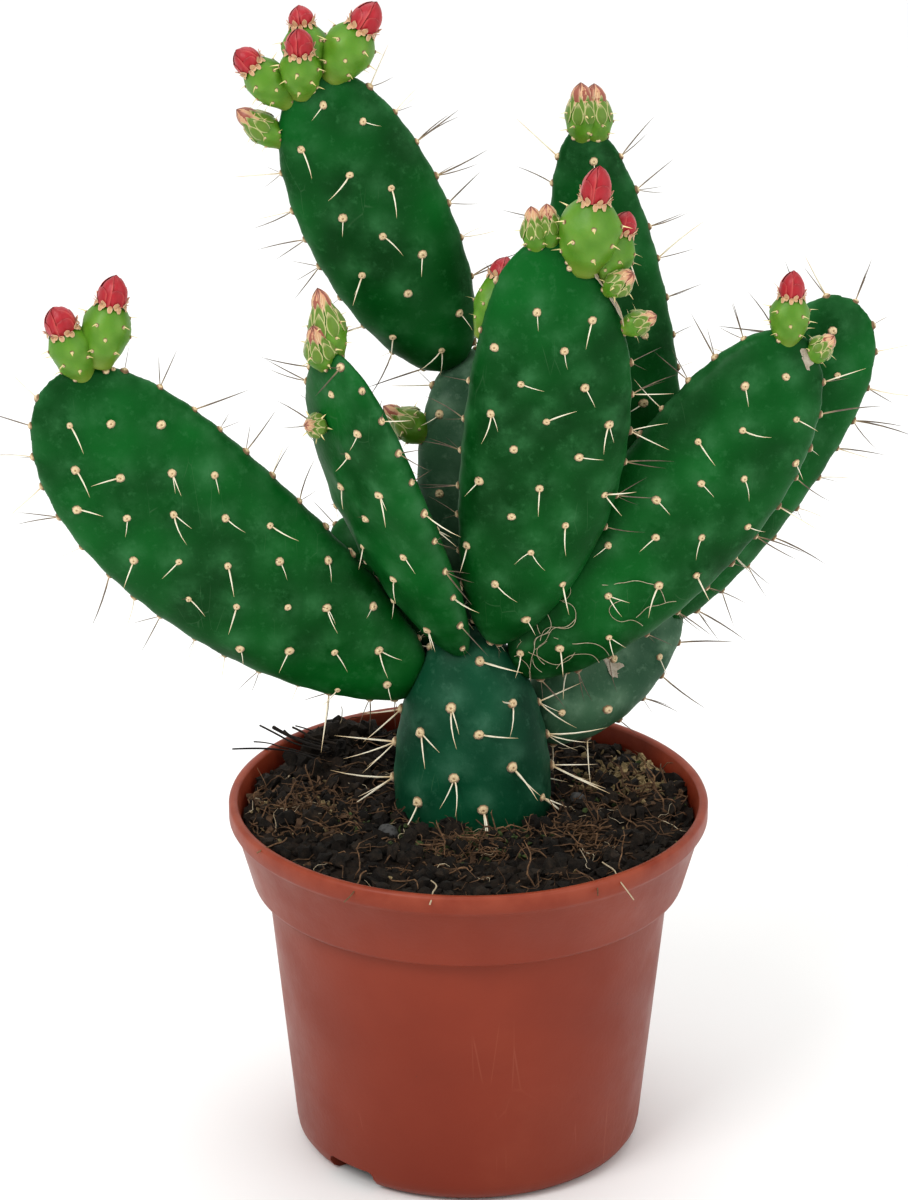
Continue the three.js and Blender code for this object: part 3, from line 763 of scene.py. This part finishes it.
def face_areoles(pad, front):
    """Alternating rows over one face of a pad, from its tip down."""
    found = []
    row = 0
    along = pad.high - 7 * MM - dice.uniform(0, 3) * MM
    phase = dice.uniform(-0.2, 0.2)
    while along > pad.low + 2 * MM:
        columns = [phase + count + 0.5 * (row % 2) for count in range(-3, 4)]
        for column in columns:
            across = column * COLUMN_STEP + shaken(1.3 * MM)
            start = pad.point(along + shaken(1.2 * MM), across, front * 60 * MM)
            place, normal, _, _ = pad.tree.ray_cast(start, -front * pad.face)
            if place is not None and front * normal.dot(pad.face) > 0.55:
                found.append((place, normal, False))
        along -= ROW_STEP
        row += 1
    return found


def margin_areoles(pad):
    """A line of areoles up one margin, over the tip and down the other."""
    outline = []
    steps = 240
    reach = 90 * MM
    hub = pad.point(0.45 * (pad.low + pad.high), 0, 0)
    for step in range(steps + 1):
        turn = math.pi * (1.06 * (2 * step / steps - 1))
        way = math.cos(turn) * pad.axis + math.sin(turn) * (0.5 * pad.side)
        place, normal, _, _ = pad.tree.ray_cast(hub + reach * way, -way.normalized())
        if place is not None:
            outline.append((place, normal))
    found = []
    walked = dice.uniform(0, MARGIN_STEP)
    for (before, _), (after, normal) in zip(outline, outline[1:]):
        walked += (after - before).length
        near_tip = (after - pad.centre).dot(pad.axis) > 0.75 * pad.high
        if walked > MARGIN_STEP * (0.85 if near_tip else 1.0) + shaken(1.2 * MM):
            walked = 0
            found.append((after, normal, True))
    return found


def find_areoles(pads, bud_trees):
    for pad in pads:
        edge = [spot for spot in margin_areoles(pad) if is_free(spot[0], pad, pads, bud_trees)]
        faces = face_areoles(pad, 1) + face_areoles(pad, -1)
        for spot in faces:
            crowded = any((spot[0] - other[0]).length < CROWDED for other in edge)
            if not crowded and is_free(spot[0], pad, pads, bud_trees):
                edge.append(spot)
        pad.areoles = edge


def spine_way(pad, normal, margin):
    """The direction of one spine: fanned out on a margin, hanging along the skin on a face."""
    if margin:
        lift = -0.75 if pad.node == "trunk" else 0.1
        fan = normal + shaken(0.75) * pad.axis + shaken(0.5) * pad.face + lift * UP
        return fan.normalized()
    turn = dice.gauss(0.25, 0.75)
    hang = Vector((math.sin(turn), 0, -math.cos(turn)))
    hang -= hang.dot(normal) * normal
    return (hang.normalized() + dice.uniform(0.4, 0.75) * normal + shaken(0.2) * pad.side).normalized()


def spine_length(pad, margin):
    if pad.node == "trunk":
        return dice.uniform(8, 17 if margin else 11) * MM
    if margin:
        return dice.choice((5, 7, 9, 10, 12, 14)) * MM * dice.uniform(0.8, 1.1)
    return dice.uniform(4.5, 8) * MM


def grow_spines(pad, pads, spines, tuft):
    """The felt tufts and the spines of one pad, each as one piece."""
    tufts, needles = [], []
    on_trunk = pad.node == "trunk"
    for place, normal, margin in pad.areoles:
        size = dice.uniform(1.0, 1.35) * MM * (0.9 if margin else 1.0) * (1.2 if on_trunk else 1.0)
        upward = pad.axis + 0.6 * UP + shaken(0.5) * pad.side
        tufts.append((0, upright(place + 0.1 * MM * normal, normal, upward, size), 0))
        count = dice.choice((1, 2, 2, 3)) if margin else dice.choice((0, 1, 1, 1, 1, 1, 1, 2))
        if on_trunk:
            count = dice.choice((3, 4, 4)) if margin else dice.choice((1, 2, 2))
        for _ in range(count):
            way = spine_way(pad, normal, margin)
            length = spine_length(pad, margin)
            foot = place + 0.3 * MM * normal
            if any(other.tree.ray_cast(foot + 1.2 * MM * way, way, length)[0] for other in pads):
                length *= 0.45
            girth = 0.45 if margin else 0.82
            if on_trunk:
                girth = 0.5 if margin else 0.75
            # Most margin spines take the dark finish, which is ivory with painted shade.
            which = 1 if margin and not on_trunk and dice.random() < 0.8 else 0
            bend = dice.randrange(3)
            sideways = dice.choice((-1, 1)) * pad.side
            upward = normal + 0.2 * UP if margin else sideways - 0.5 * normal
            needles.append((bend, aim(foot, way, upward, length, girth), which))
        if not margin and dice.random() < 0.3:
            way = (normal + 0.8 * pad.axis + shaken(0.4) * pad.side).normalized()
            needles.append((0, aim(place, way, normal, dice.uniform(2, 3.5) * MM, 0.9), 1))
    finished(copies_of(f"{pad.node}_areoles", [tuft], tufts), "areole")
    finished(copies_of(f"{pad.node}_spines", spines, needles), "spine",
             finishes=["ivory_spine", "dark_spine"])


# ---------------------------------------------------------------- the buds

BLADE_THICKNESS = 0.24 * MM
BUD_ROOT = 2.5 * MM  # how far a bud's foot reaches into its pad


class Bud:
    """A flower bud of the frame, measured from its two solids."""

    def __init__(self, node):
        self.node = node
        vessel = corners(NODES[node].data)
        petals = corners(NODES[f"{node}_petals"].data)
        foot, head = vessel.mean(0), petals.mean(0)
        self.axis = Vector(head - foot).normalized()
        axis = np.array(self.axis)
        self.brown = SLOT_OF[f"{node}_petals"] == "brown_petal"
        rise = (petals - head) @ axis
        crown = (vessel - head) @ axis
        self.tip = Vector(head + axis * rise.max())
        self.rim = Vector(head + axis * crown.max())
        self.base = Vector(head + axis * crown.min())
        self.petal_half = self.girth(petals, head, axis)
        self.half = self.girth(vessel, head, axis)
        self.body = (self.rim - self.base).length
        self.rise = (self.tip - self.rim).length
        level = self.axis.orthogonal().normalized()
        self.turn = Matrix((level, self.axis.cross(level), self.axis)).transposed().to_4x4()

    @staticmethod
    def girth(points, middle, axis):
        out = points - middle
        out -= (out @ axis)[:, None] * axis
        return float(np.linalg.norm(out, axis=1).max())

    def in_place(self, points):
        """Points of the bud's own frame, z along it from its foot, put where it grows."""
        turn = np.array(self.turn)[:3, :3]
        return points @ turn.T + np.array(self.base)

    def vessel_radius(self, rise):
        """Half width of the seed vessel at a share of its height: a barrel on a narrow foot."""
        mouth = min(0.9, self.petal_half / self.half)
        shape = np.interp(rise, (0, 0.12, 0.3, 0.5, 0.68, 0.85, 0.95, 1.0),
                          (0.5, 0.6, 0.84, 0.97, 1.0, 0.5 + 0.48 * mouth, 1.02 * mouth, 0.9 * mouth))
        return self.half * shape

    def petal_radius(self, rise):
        """Half width of the closed petals at a share of their rise."""
        red, brown = (0.78, 0.86, 0.82, 0.67, 0.47, 0.26, 0.02), (0.8, 0.8, 0.7, 0.53, 0.35, 0.18, 0.02)
        shape = np.interp(rise, (0, 0.2, 0.42, 0.62, 0.78, 0.9, 1.0), brown if self.brown else red)
        return self.petal_half * shape

    def surface(self, height):
        """Half width of the whole bud at a height over its foot."""
        green = self.vessel_radius(np.clip(height / self.body, 0, 1))
        closed = self.petal_radius(np.clip((height - self.body) / self.rise, 0, 1))
        return np.where(height < self.body, green, closed)


def bud_spots(bud):
    """Turn and rise of the low tubercles of a seed vessel, in alternating rows."""
    rows = (0.34, 0.54, 0.74) if bud.body > 11 * MM else (0.42, 0.7)
    around = 5 if bud.half > 4.2 * MM else 4
    first = dice.uniform(0, 6)
    return [
        (first + 2 * math.pi * (count + 0.5 * (row % 2)) / around + shaken(0.12), rise + shaken(0.03))
        for row, rise in enumerate(rows) for count in range(around)
    ]


def make_vessel(bud, spots):
    sides, rings = 30, 22
    bpy.ops.mesh.primitive_uv_sphere_add(segments=sides, ring_count=rings, radius=1)
    piece = bpy.context.object
    piece.name = f"{bud.node}_vessel"
    ball = corners(piece.data)
    turn = np.arctan2(ball[:, 1], ball[:, 0])
    polar = np.arccos(np.clip(ball[:, 2], -1, 1)) / math.pi  # 0 at the top
    rise = np.clip((1 - polar) * 1.16 - 0.08, 0, 1)
    closing = np.clip(np.hypot(ball[:, 0], ball[:, 1]) / 0.3, 0, 1) ** 0.8
    radius = bud.vessel_radius(rise) * closing
    swell = np.zeros(len(ball))
    for spot_turn, spot_rise in spots:
        apart = np.angle(np.exp(1j * (turn - spot_turn))) * bud.half
        away = apart ** 2 + ((rise - spot_rise) * bud.body) ** 2
        swell = np.maximum(swell, np.exp(-away / (0.34 * bud.half) ** 2))
    radius = radius + 0.085 * bud.half * swell * closing
    points = np.stack([radius * np.cos(turn), radius * np.sin(turn), rise * bud.body], 1)
    move_corners(piece.data, bud.in_place(points))
    mark(piece.data, "reach", rise)
    mark(piece.data, "halo", swell)
    return finished(piece, "bud_skin", bud.node)


def wrap(bud, blade, turn, spread, low, high, stand_off, open_out, skew):
    """A blade laid round the bud between two heights: its corners, in the bud's own frame."""
    height = low + (high - low) * blade["rise"]
    angle = turn + spread * blade["across"] * blade["width"]
    on_bud = bud.surface(height)
    lean = stand_off + skew * blade["across"] + open_out * blade["rise"] ** 2
    lean += BLADE_THICKNESS * blade["lift"]
    closing = np.clip(on_bud / (0.5 * bud.petal_half), 0.15, 1)
    radius = on_bud + lean * closing
    return np.stack([radius * np.cos(angle), radius * np.sin(angle), height], 1)


def blade_rows(bud):
    """The rows of blades of a bud. A row: kind, finish, count, half angle, low and high (heights
    over the foot), stand-off, how far the tips open and how far one edge lies over the next."""
    wide, whole, tooth = bud.petal_half, bud.body + bud.rise, 0.6 * MM + 0.12 * bud.half
    rows = [
        ("petal", 0, 5, 0.8, bud.body, whole, 0.0, 0.0, 0.07 * wide),
        ("petal", 0, 5, 0.74, bud.body, bud.body + 0.93 * bud.rise, 0.1 * wide, 0.0, 0.06 * wide),
    ]
    if bud.brown:
        for step, (start, finish) in enumerate(((0.42, 2), (0.54, 2), (0.64, 1), (0.73, 1))):
            low = start * whole
            high = min(low + 0.3 * whole, 0.99 * whole)
            rows.append(("scale", finish, 8 - step, 0.36 + 0.05 * step, low, high,
                         0.3 * MM - 0.04 * MM * step, 0.16 * MM, 0.0))
    else:
        rows += [
            ("petal", 0, 4, 0.6, bud.body, bud.body + 0.6 * bud.rise,
             0.13 * wide, 0.04 * wide, 0.03 * wide),
            ("scale", 1, 8, 0.2, bud.body - 0.3 * tooth, bud.body + 1.35 * tooth,
             0.16 * wide, 0.2 * wide, 0),
            ("scale", 1, 9, 0.17, bud.body - 0.9 * tooth, bud.body + 0.6 * tooth,
             0.06 * wide, 0.34 * wide, 0),
        ]
    return rows


def make_petals(bud):
    """The closed petals in whorls over a core, with pointed scales round their foot."""
    points, faces, reach, rim, which, start = [], [], [], [], [], 0
    for number, row in enumerate(blade_rows(bud)):
        kind, finish, count, spread, low, high, stand_off, open_out, skew = row
        blade = BLADES[kind]
        for index in range(count):
            turn = 0.63 * number + 2 * math.pi * (index + shaken(0.12)) / count
            rise = high + shaken(0.04) * (high - low) * min(number, 1)
            points.append(wrap(bud, blade, turn, spread, low, rise, stand_off, open_out, skew))
            faces.extend([[corner + start for corner in face] for face in blade["faces"]])
            reach.append(blade["rise"])
            rim.append(np.abs(blade["across"]) ** 2)
            which.extend([finish] * len(blade["faces"]))
            start += len(blade["rise"])
    sides, rings = 12, 8
    for ring in range(rings):
        rise = ring / (rings - 1)
        radius = 0.88 * bud.petal_radius(rise)
        angle = 2 * math.pi * np.arange(sides) / sides
        height = np.full(sides, bud.body + 0.95 * rise * bud.rise - 0.3 * MM)
        points.append(np.stack([radius * np.cos(angle), radius * np.sin(angle), height], 1))
        reach.append(np.full(sides, rise))
        rim.append(np.zeros(sides))
    for ring in range(rings - 1):
        for side in range(sides):
            first, second = (start + ring * sides + turn for turn in (side, (side + 1) % sides))
            faces.append([first, second, second + sides, first + sides])
    faces.append([start + side for side in reversed(range(sides))])
    faces.append([start + (rings - 1) * sides + side for side in range(sides)])
    which.extend([0] * ((rings - 1) * sides + 2))
    mesh = bpy.data.meshes.new(f"{bud.node}_flower")
    mesh.from_pydata(bud.in_place(np.concatenate(points)).tolist(), [], faces)
    mesh.polygons.foreach_set("material_index", which)
    mark(mesh, "reach", np.concatenate(reach))
    mark(mesh, "rim", np.concatenate(rim))
    piece = new_piece(f"{bud.node}_flower", mesh)
    start_editing()
    turn_outward()
    slot = "brown_petal" if bud.brown else "red_petal"
    return finished(piece, slot, f"{bud.node}_petals", finishes=[slot, "bud_scale", "green_scale"])


def foot_wool(bud, pad):
    """Woolly tufts in a ring where a bud leaves its pad."""
    found = []
    for count in range(6):
        turn = 2 * math.pi * count / 6 + shaken(0.3)
        out = 0.62 * bud.half
        ring = np.array([[out * math.cos(turn), out * math.sin(turn), BUD_ROOT]])
        place, normal, _, _ = pad.tree.find_nearest(Vector(bud.in_place(ring)[0]))
        size = dice.uniform(0.55, 0.95) * MM
        found.append((0, stand(place, normal, turn, size), 0))
    return found


def make_buds(pads, tuft, horn):
    """Every bud, with the horned tubercles of its green part and the wool round its foot."""
    dots, horns = [], []
    for node in BUD_NODES:
        bud = Bud(node)
        spots = bud_spots(bud)
        make_vessel(bud, spots)
        make_petals(bud)
        holder = min(pads, key=lambda pad: pad.tree.find_nearest(bud.base + BUD_ROOT * bud.axis)[3])
        dots += foot_wool(bud, holder)
        for turn, rise in spots:
            out = 1.05 * bud.vessel_radius(rise)
            ring = np.array([[share * out * math.cos(turn), share * out * math.sin(turn), rise * bud.body]
                             for share in (1, 2)])
            place, ahead = (Vector(found) for found in bud.in_place(ring))
            normal = (ahead - place).normalized()
            size = 0.075 * bud.half + 0.12 * MM
            dots.append((0, stand(place, normal, turn, size), 0))
            length = 0.06 * bud.half + 0.35 * MM
            way = bud.axis + 0.25 * normal + shaken(0.2) * bud.axis.cross(normal)
            horns.append((0, aim(place + 0.35 * size * bud.axis, way, normal, length, 14), 0))
    finished(copies_of("bud_areoles", [tuft], dots), "areole")
    finished(copies_of("bud_horns", [horn], horns), "areole", finishes=["horn"])


# ---------------------------------------------------------------- the pot

SLOT_WIDTH, SLOT_HEIGHT, SLOT_DEPTH = 15 * MM, 5.2 * MM, 9 * MM
SLOT_CORNER = 1.6 * MM
SLOT_TURNS = (-43, 137)  # degrees round from the front


def pot_outline():
    """Radius and height pairs of the pot's moulding, walked along one meridian of its solid."""
    mesh = solid_copy("pot", "pot_measure").data
    places = corners(mesh)
    radius = np.hypot(places[:, 0], places[:, 1])
    on_meridian = (radius < 0.1 * MM) | ((np.abs(places[:, 0]) < 0.1 * MM) & (places[:, 1] > 0))
    joined = {}
    for edge in mesh.edges:
        first, second = edge.vertices
        if on_meridian[first] and on_meridian[second]:
            joined.setdefault(first, []).append(second)
            joined.setdefault(second, []).append(first)
    bottom = min((index for index in joined if radius[index] < 0.1 * MM), key=lambda i: places[i, 2])
    walk, last = [bottom], None
    while len(walk) == 1 or radius[walk[-1]] > 0.1 * MM:
        ahead = [index for index in joined[walk[-1]] if index != last]
        last = walk[-1]
        walk.append(ahead[0])
    bpy.data.objects.remove(bpy.data.objects["pot_measure"])
    return [(radius[index], places[index, 2]) for index in walk]


def make_pot():
    outline = pot_outline()
    mesh = bpy.data.meshes.new("pot_shell")
    edges = [(index, index + 1) for index in range(len(outline) - 1)]
    mesh.from_pydata([(0, radius, height) for radius, height in outline], edges, [])
    piece = new_piece("pot_shell", mesh)
    start_editing()
    bpy.ops.mesh.spin(steps=160, angle=2 * math.pi, center=(0, 0, 0), axis=(0, 0, 1))
    bpy.ops.mesh.select_all(action="SELECT")
    bpy.ops.mesh.remove_doubles(threshold=MERGE_DISTANCE)
    turn_outward()
    foot = min(radius for radius, height in outline if 6 * MM < height < 40 * MM or radius > 40 * MM)
    for turn in SLOT_TURNS:
        bpy.ops.mesh.primitive_cube_add(size=1)
        cutter = bpy.context.object
        cutter.scale = (SLOT_WIDTH, 2 * SLOT_DEPTH, 2 * SLOT_HEIGHT)
        cutter.location = (0, -foot, 0)
        bpy.ops.object.transform_apply(location=True, scale=True)
        modify(cutter, "BEVEL", width=SLOT_CORNER, segments=4)
        cutter.rotation_euler.z = math.radians(turn)
        bpy.ops.object.transform_apply(rotation=True)
        modify(piece, "BOOLEAN", operation="DIFFERENCE", object=cutter, solver="EXACT")
        bpy.data.objects.remove(cutter)
    return finished(piece, "pot_plastic", "pot")


# ---------------------------------------------------------------- the soil and what lies on it

SOIL_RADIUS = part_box("soil")[1].x
RIM_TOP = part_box("pot")[1].z
SOIL_VOXEL = 1.15 * MM
LITTER_RADIUS = SOIL_RADIUS - 1.5 * MM  # crumbs keep this far in, clear of the wall
DROP_HEIGHT = RIM_TOP + 20 * MM  # where crumbs are let fall from on to the bed


def crumble(x, y):
    """How far the soil's surface rises above the plain one: clods, crumbs and a heap at the back."""
    place = Vector((x, y, 0)) / MM
    rise = 1.6 * noise.noise(place / 9) + 1.5 * noise.noise(place / 4.2) + 0.8 * noise.noise(place / 2)
    heap = math.hypot(x + 33 * MM, y - 38 * MM) / (15 * MM)
    mound = math.hypot(x + 8 * MM, y + 24 * MM) / (34 * MM)
    return (0.4 + rise + 4.2 * math.exp(-heap ** 2) + 0.9 * math.exp(-mound ** 2)) * MM


def make_soil():
    piece = solid_copy("soil", "soil_bed")
    modify(piece, "REMESH", mode="VOXEL", voxel_size=SOIL_VOXEL)
    places, outward = corners(piece.data), normals(piece.data)
    plain = SOIL_TOP - 9 * MM
    for index, (x, y, z) in enumerate(places):
        if z > plain and outward[index, 2] > 0.35:
            inside = min(1.0, (SOIL_RADIUS - math.hypot(x, y)) / (3 * MM))
            places[index, 2] += crumble(x, y) * max(0.25, inside)
    move_corners(piece.data, places)
    mark(piece.data, "shade", np.zeros(len(places)))
    return finished(piece, "soil", "soil", finishes=["peat"])


def spot_near(x, y, spread):
    """A place scattered round a point of the pot's opening, kept inside the wall."""
    while True:
        found = (x * MM + dice.gauss(0, spread) * MM, y * MM + dice.gauss(0, spread) * MM)
        if math.hypot(*found) < LITTER_RADIUS:
            return found


def spot_anywhere():
    radius = LITTER_RADIUS * math.sqrt(dice.random())
    turn = dice.uniform(0, 2 * math.pi)
    return radius * math.cos(turn), radius * math.sin(turn)


def tumbled(x, y, bed, sizes, sink):
    """A matrix that lays a crumb on the soil bed, turned at random."""
    place, _, _, _ = bed.ray_cast(Vector((x, y, DROP_HEIGHT)), -UP)
    size = dice.uniform(*sizes) * MM
    if place is None:
        return None
    turn = Quaternion((dice.gauss(0, 1), dice.gauss(0, 1), dice.gauss(0, 1), dice.gauss(0, 1)))
    lift = Matrix.Translation(place + (0.5 - sink) * size * UP)
    return lift @ turn.normalized().to_matrix().to_4x4() @ Matrix.Scale(size, 4)


def lying(x, y, bed, length, girth):
    """A matrix that lays a fibre along the soil bed, turned inward if it would reach the wall."""
    place, _, _, _ = bed.ray_cast(Vector((x, y, DROP_HEIGHT)), -UP)
    if place is None:
        return None
    turn = dice.uniform(0, 2 * math.pi)
    way = Vector((math.cos(turn), math.sin(turn), dice.uniform(-0.1, 0.35)))
    end = place + length * way
    if math.hypot(end.x, end.y) > SOIL_RADIUS - 0.5 * MM:
        way.x, way.y = -place.x, -place.y
        way = way.normalized() + 0.1 * UP
    return aim(place + 1.1 * MM * UP, way, UP, length, girth)


def keep_open(placements, trunk):
    """Leaves out what would lie in the air or inside the trunk."""
    return [item for item in placements
            if item[1] is not None and trunk.find_nearest(item[1].translation, 0.6 * MM)[0] is None]


def strewn(kinds, bed, groups):
    """Crumbs on the bed. A group: where round (None is everywhere), spread, sizes, sink, count."""
    placed = []
    for middle, spread, sizes, sink, count in groups:
        for _ in range(count):
            kind = dice.randrange(kinds)
            spot = spot_near(*middle, spread) if middle else spot_anywhere()
            placed.append((kind, tumbled(*spot, bed, sizes, sink), 0))
    return placed


def strewn_fibres(kinds, bed, groups):
    """Fibres on the bed. A group: where round, spread, lengths, girth, finish number, count."""
    placed = []
    for middle, spread, (shortest, longest), girth, finish, count in groups:
        for _ in range(count):
            length = dice.uniform(shortest, longest) * MM
            kind = dice.randrange(kinds)
            spot = spot_near(*middle, spread) if middle else spot_anywhere()
            placed.append((kind, lying(*spot, bed, length, girth), finish))
    return placed


def litter_soil(bed, trunk):
    """Crumbs, clods, chips, moss and fibres, each kind as one piece."""
    crumbs = [lump_pattern(seed + 0.3, 1, 0.8, 0.5) for seed in range(4)]
    clods = [lump_pattern(seed + 5.3, 2, 0.75, 0.75) for seed in range(5)]
    chips = [chip_pattern(seed) for seed in range(4)]
    flakes = [lump_pattern(seed + 11.7, 1, 0.3, 0.6) for seed in range(4)]
    for name, slot, finish, patterns, groups in (
        ("soil_crumbs", "soil", "clod", crumbs, [(None, 0, (0.45, 1.0), 0.3, 1700)]),
        ("soil_clods", "soil", "clod", clods, [
            (None, 0, (1.1, 2.7), 0.2, 420),
            ((-33, 38), 7, (1.6, 3.0), 0.1, 34)]),
        ("bark_chips", "fibre", "chip", chips, [
            ((-43, 6), 9, (0.9, 2.0), 0.1, 46),
            ((36, 12), 14, (0.7, 1.5), 0.1, 40),
            (None, 0, (0.6, 1.5), 0.1, 60)]),
        ("moss_flakes", "fibre", "flake", flakes, [
            ((43, 21), 6, (0.6, 1.6), -0.2, 170),
            ((33, 24), 5, (0.5, 1.1), 0.0, 60),
            ((-44, 4), 7, (0.5, 1.1), 0.0, 50),
            (None, 0, (0.3, 0.8), 0.0, 90)]),
    ):
        placed = strewn(len(patterns), bed, groups)
        finished(copies_of(name, patterns, keep_open(placed, trunk)), slot, finishes=[finish])
    fibres = fibre_patterns()
    placed = strewn_fibres(len(fibres), bed, [
        ((0, -20), 6, (4, 10), 1.6, 0, 110),
        ((29, -15), 4, (4, 10), 1.6, 0, 70),
        ((-40, 0), 9, (4, 10), 1.6, 0, 90),
        ((40, 10), 10, (4, 10), 1.6, 0, 70),
        (None, 0, (4, 12), 1.2, 0, 300),
        (None, 0, (3, 9), 1.0, 1, 60)])
    finished(copies_of("soil_fibres", fibres, keep_open(placed, trunk)), "fibre",
             finishes=["fibre", "pale_fibre"])


def tube_through(name, places, thickness, finish):
    """A thin crooked strand through a list of places."""
    data = bpy.data.curves.new(name, "CURVE")
    data.dimensions = "3D"
    data.bevel_depth = thickness / 2
    data.bevel_resolution = 1
    data.use_fill_caps = True
    data.resolution_u = 4
    spline = data.splines.new("NURBS")
    spline.points.add(len(places) - 1)
    for point, place in zip(spline.points, places):
        point.co = (*place, 1)
        point.radius = dice.uniform(0.75, 1.1)
    spline.use_endpoint_u = True
    spline.order_u = 4
    piece = bpy.data.objects.new(name, data)
    bpy.context.collection.objects.link(piece)
    pick_only(piece)
    bpy.ops.object.convert(target="MESH")
    piece = bpy.context.object
    mark(piece.data, "shade", np.full(len(piece.data.vertices), dice.random()))
    return finished(piece, "fibre", finishes=[finish])


def strands_over_rim():
    """Dry strands that lie across the lip: a thick dark one at the back left, thin ones in front."""
    def over(turn, inner, outer, height, drop):
        """Places from inside the pot over its lip, at a turn in degrees from the front."""
        angle = math.radians(turn - 90)
        found = []
        for share in (0, 0.2, 0.4, 0.6, 0.8, 1):
            out = inner + (outer - inner) * share
            sway = shaken(1.2)
            x = out * math.cos(angle) - sway * math.sin(angle)
            y = out * math.sin(angle) + sway * math.cos(angle)
            found.append(Vector((x, y, height - drop * share ** 3)) * MM)
        return found

    top = RIM_TOP / MM
    for count, (turn, outer, thickness, drop) in enumerate((
            (-126, 63, 0.95, -1), (-128, 61, 0.6, 0), (-123, 65, 0.55, -2), (-130, 58, 0.7, -1.5),
            (-119, 68.5, 0.5, 2.4), (-121, 64, 0.35, 0.5), (-133, 60, 0.4, -0.5))):
        places = over(turn + shaken(1), 44, outer, top + 1.1 + shaken(0.3), drop)
        tube_through(f"rim_strand_back_{count + 1}", places, thickness * MM, "clod")
    for count, (turn, outer, drop) in enumerate((
            (-28, 62.5, 4), (-9, 61, 2), (31, 61.5, 3), (38, 63.5, 6), (-58, 61, 1.5))):
        places = over(turn, 52, outer, top + 0.5, drop)
        finish = "pale_fibre" if count % 2 else "fibre"
        tube_through(f"rim_strand_{count + 1}", places, 0.42 * MM, finish)


def make_pebbles():
    for node in sorted(name for name in NODES if name.startswith("pebble_")):
        piece = solid_copy(node, f"{node}_stone")
        modify(piece, "SUBSURF", levels=2, render_levels=2)
        places, outward = corners(piece.data), normals(piece.data)
        for index, place in enumerate(places):
            pit = noise.noise(Vector(place) / (1.6 * MM)) + 0.5 * noise.noise(Vector(place) / (0.7 * MM))
            places[index] = place + outward[index] * (0.28 * pit + 0.15) * MM
        move_corners(piece.data, places)
        finished(piece, "pebble", node)


# ---------------------------------------------------------------- marks on the plant

def skin_point(pad, along, across):
    """A place on the front of a pad, at shares of its length and half width."""
    start = pad.point(pad.low + along * (pad.high - pad.low), across * pad.half, 60 * MM)
    place, normal, _, _ = pad.tree.ray_cast(start, -pad.face)
    return place, normal


def add_threads(pad):
    """White root threads that cling to the lower part of a pad."""
    for count in range(17):
        along, across = dice.uniform(0.06, 0.3), dice.uniform(-0.6, 0.75)
        heading = dice.uniform(0, 2 * math.pi)
        places = []
        for _ in range(dice.randrange(7, 12)):
            found = skin_point(pad, along, across)
            if found[0] is not None:
                places.append(found[0] + dice.uniform(0.15, 0.8) * MM * found[1])
            heading += shaken(0.9)
            along += 0.017 * math.cos(heading)
            across += 0.1 * math.sin(heading)
        if len(places) > 4:
            tube_through(f"root_thread_{count + 1}", places, 0.2 * MM, "pale_fibre")


def add_scar(pad, name, along, across, size, stretch):
    """A dry corky patch, set a little proud of the skin."""
    place, normal = skin_point(pad, along, across)
    pattern = lump_pattern(3.1, 3, 0.16, 0.7)
    matrix = stand(place, normal, 0.3, size) @ Matrix.Diagonal((1, stretch, 1, 1))
    finished(copies_of(name, [pattern], [(0, matrix, 0)]), "areole", finishes=["cork"])


def add_dried_strip(pad):
    """Withered strands of old bud skin along the upper right margin of a pad."""
    for count, (thickness, lift, finish) in enumerate((
            (1.0, 0.5, "cork"), (0.6, 1.2, "cork"), (0.35, 1.8, "pale_fibre"))):
        places = []
        for step in range(8):
            share = step / 7
            along = pad.low + (0.965 - (0.1 + 0.02 * count) * share) * (pad.high - pad.low)
            beside = pad.point(along, (0.22 + 0.6 * share ** 0.8 + shaken(0.06)) * pad.half, 4 * MM)
            place, normal, _, _ = pad.tree.find_nearest(beside)
            places.append(place + (lift + shaken(0.5)) * MM * normal)
        tube_through(f"dried_strip_{count + 1}", places, thickness * MM, finish)


def moss_round(bed, trunk):
    """Green moss at the front and left of the trunk's foot and at the right of the bed."""
    tufts = [lump_pattern(seed + 21.3, 1, 0.5, 0.9) for seed in range(4)]
    placed = strewn(len(tufts), bed, [
        ((2, -17), 7, (0.4, 1.1), 0.0, 150),
        ((-20, -8), 5, (0.4, 0.9), 0.0, 50),
        ((40, 15), 8, (0.4, 1.0), 0.0, 60)])
    finished(copies_of("green_moss", tufts, keep_open(placed, trunk)), "fibre", finishes=["green_moss"])


# ---------------------------------------------------------------- putting it together

set_camera()
set_studio()

make_pot()
bed = tree_of(make_soil())
make_pebbles()

pads = [Pad(node) for node in PAD_NODES]
bud_trees = [tree_of(NODES[node]) for node in BUD_NODES]
find_areoles(pads, bud_trees)
TUFT = areole_pattern()
SPINES = spine_patterns()
for pad in pads:
    pad.raise_pillows()
    slot = "old_pad_skin" if pad.old else "young_pad_skin"
    finished(pad.piece, slot, pad.node, finishes=["hazy_pad_skin"] if pad.node in HAZY_PADS else None)
    grow_spines(pad, pads, SPINES, TUFT)

BLADES = shell_patterns()
make_buds(pads, TUFT, SPINES[1])

by_node = {pad.node: pad for pad in pads}
litter_soil(bed, by_node["trunk"].tree)
strands_over_rim()
add_threads(by_node["pad_right"])
add_scar(by_node["pad_lower_right"], "cork_scar", 0.5, -0.1, 2.6 * MM, 1.7)
add_scar(by_node["pad_right"], "cork_tip_scar", 0.965, 0.03, 1.2 * MM, 2.0)
add_dried_strip(by_node["pad_centre"])
moss_round(bed, by_node["trunk"].tree)
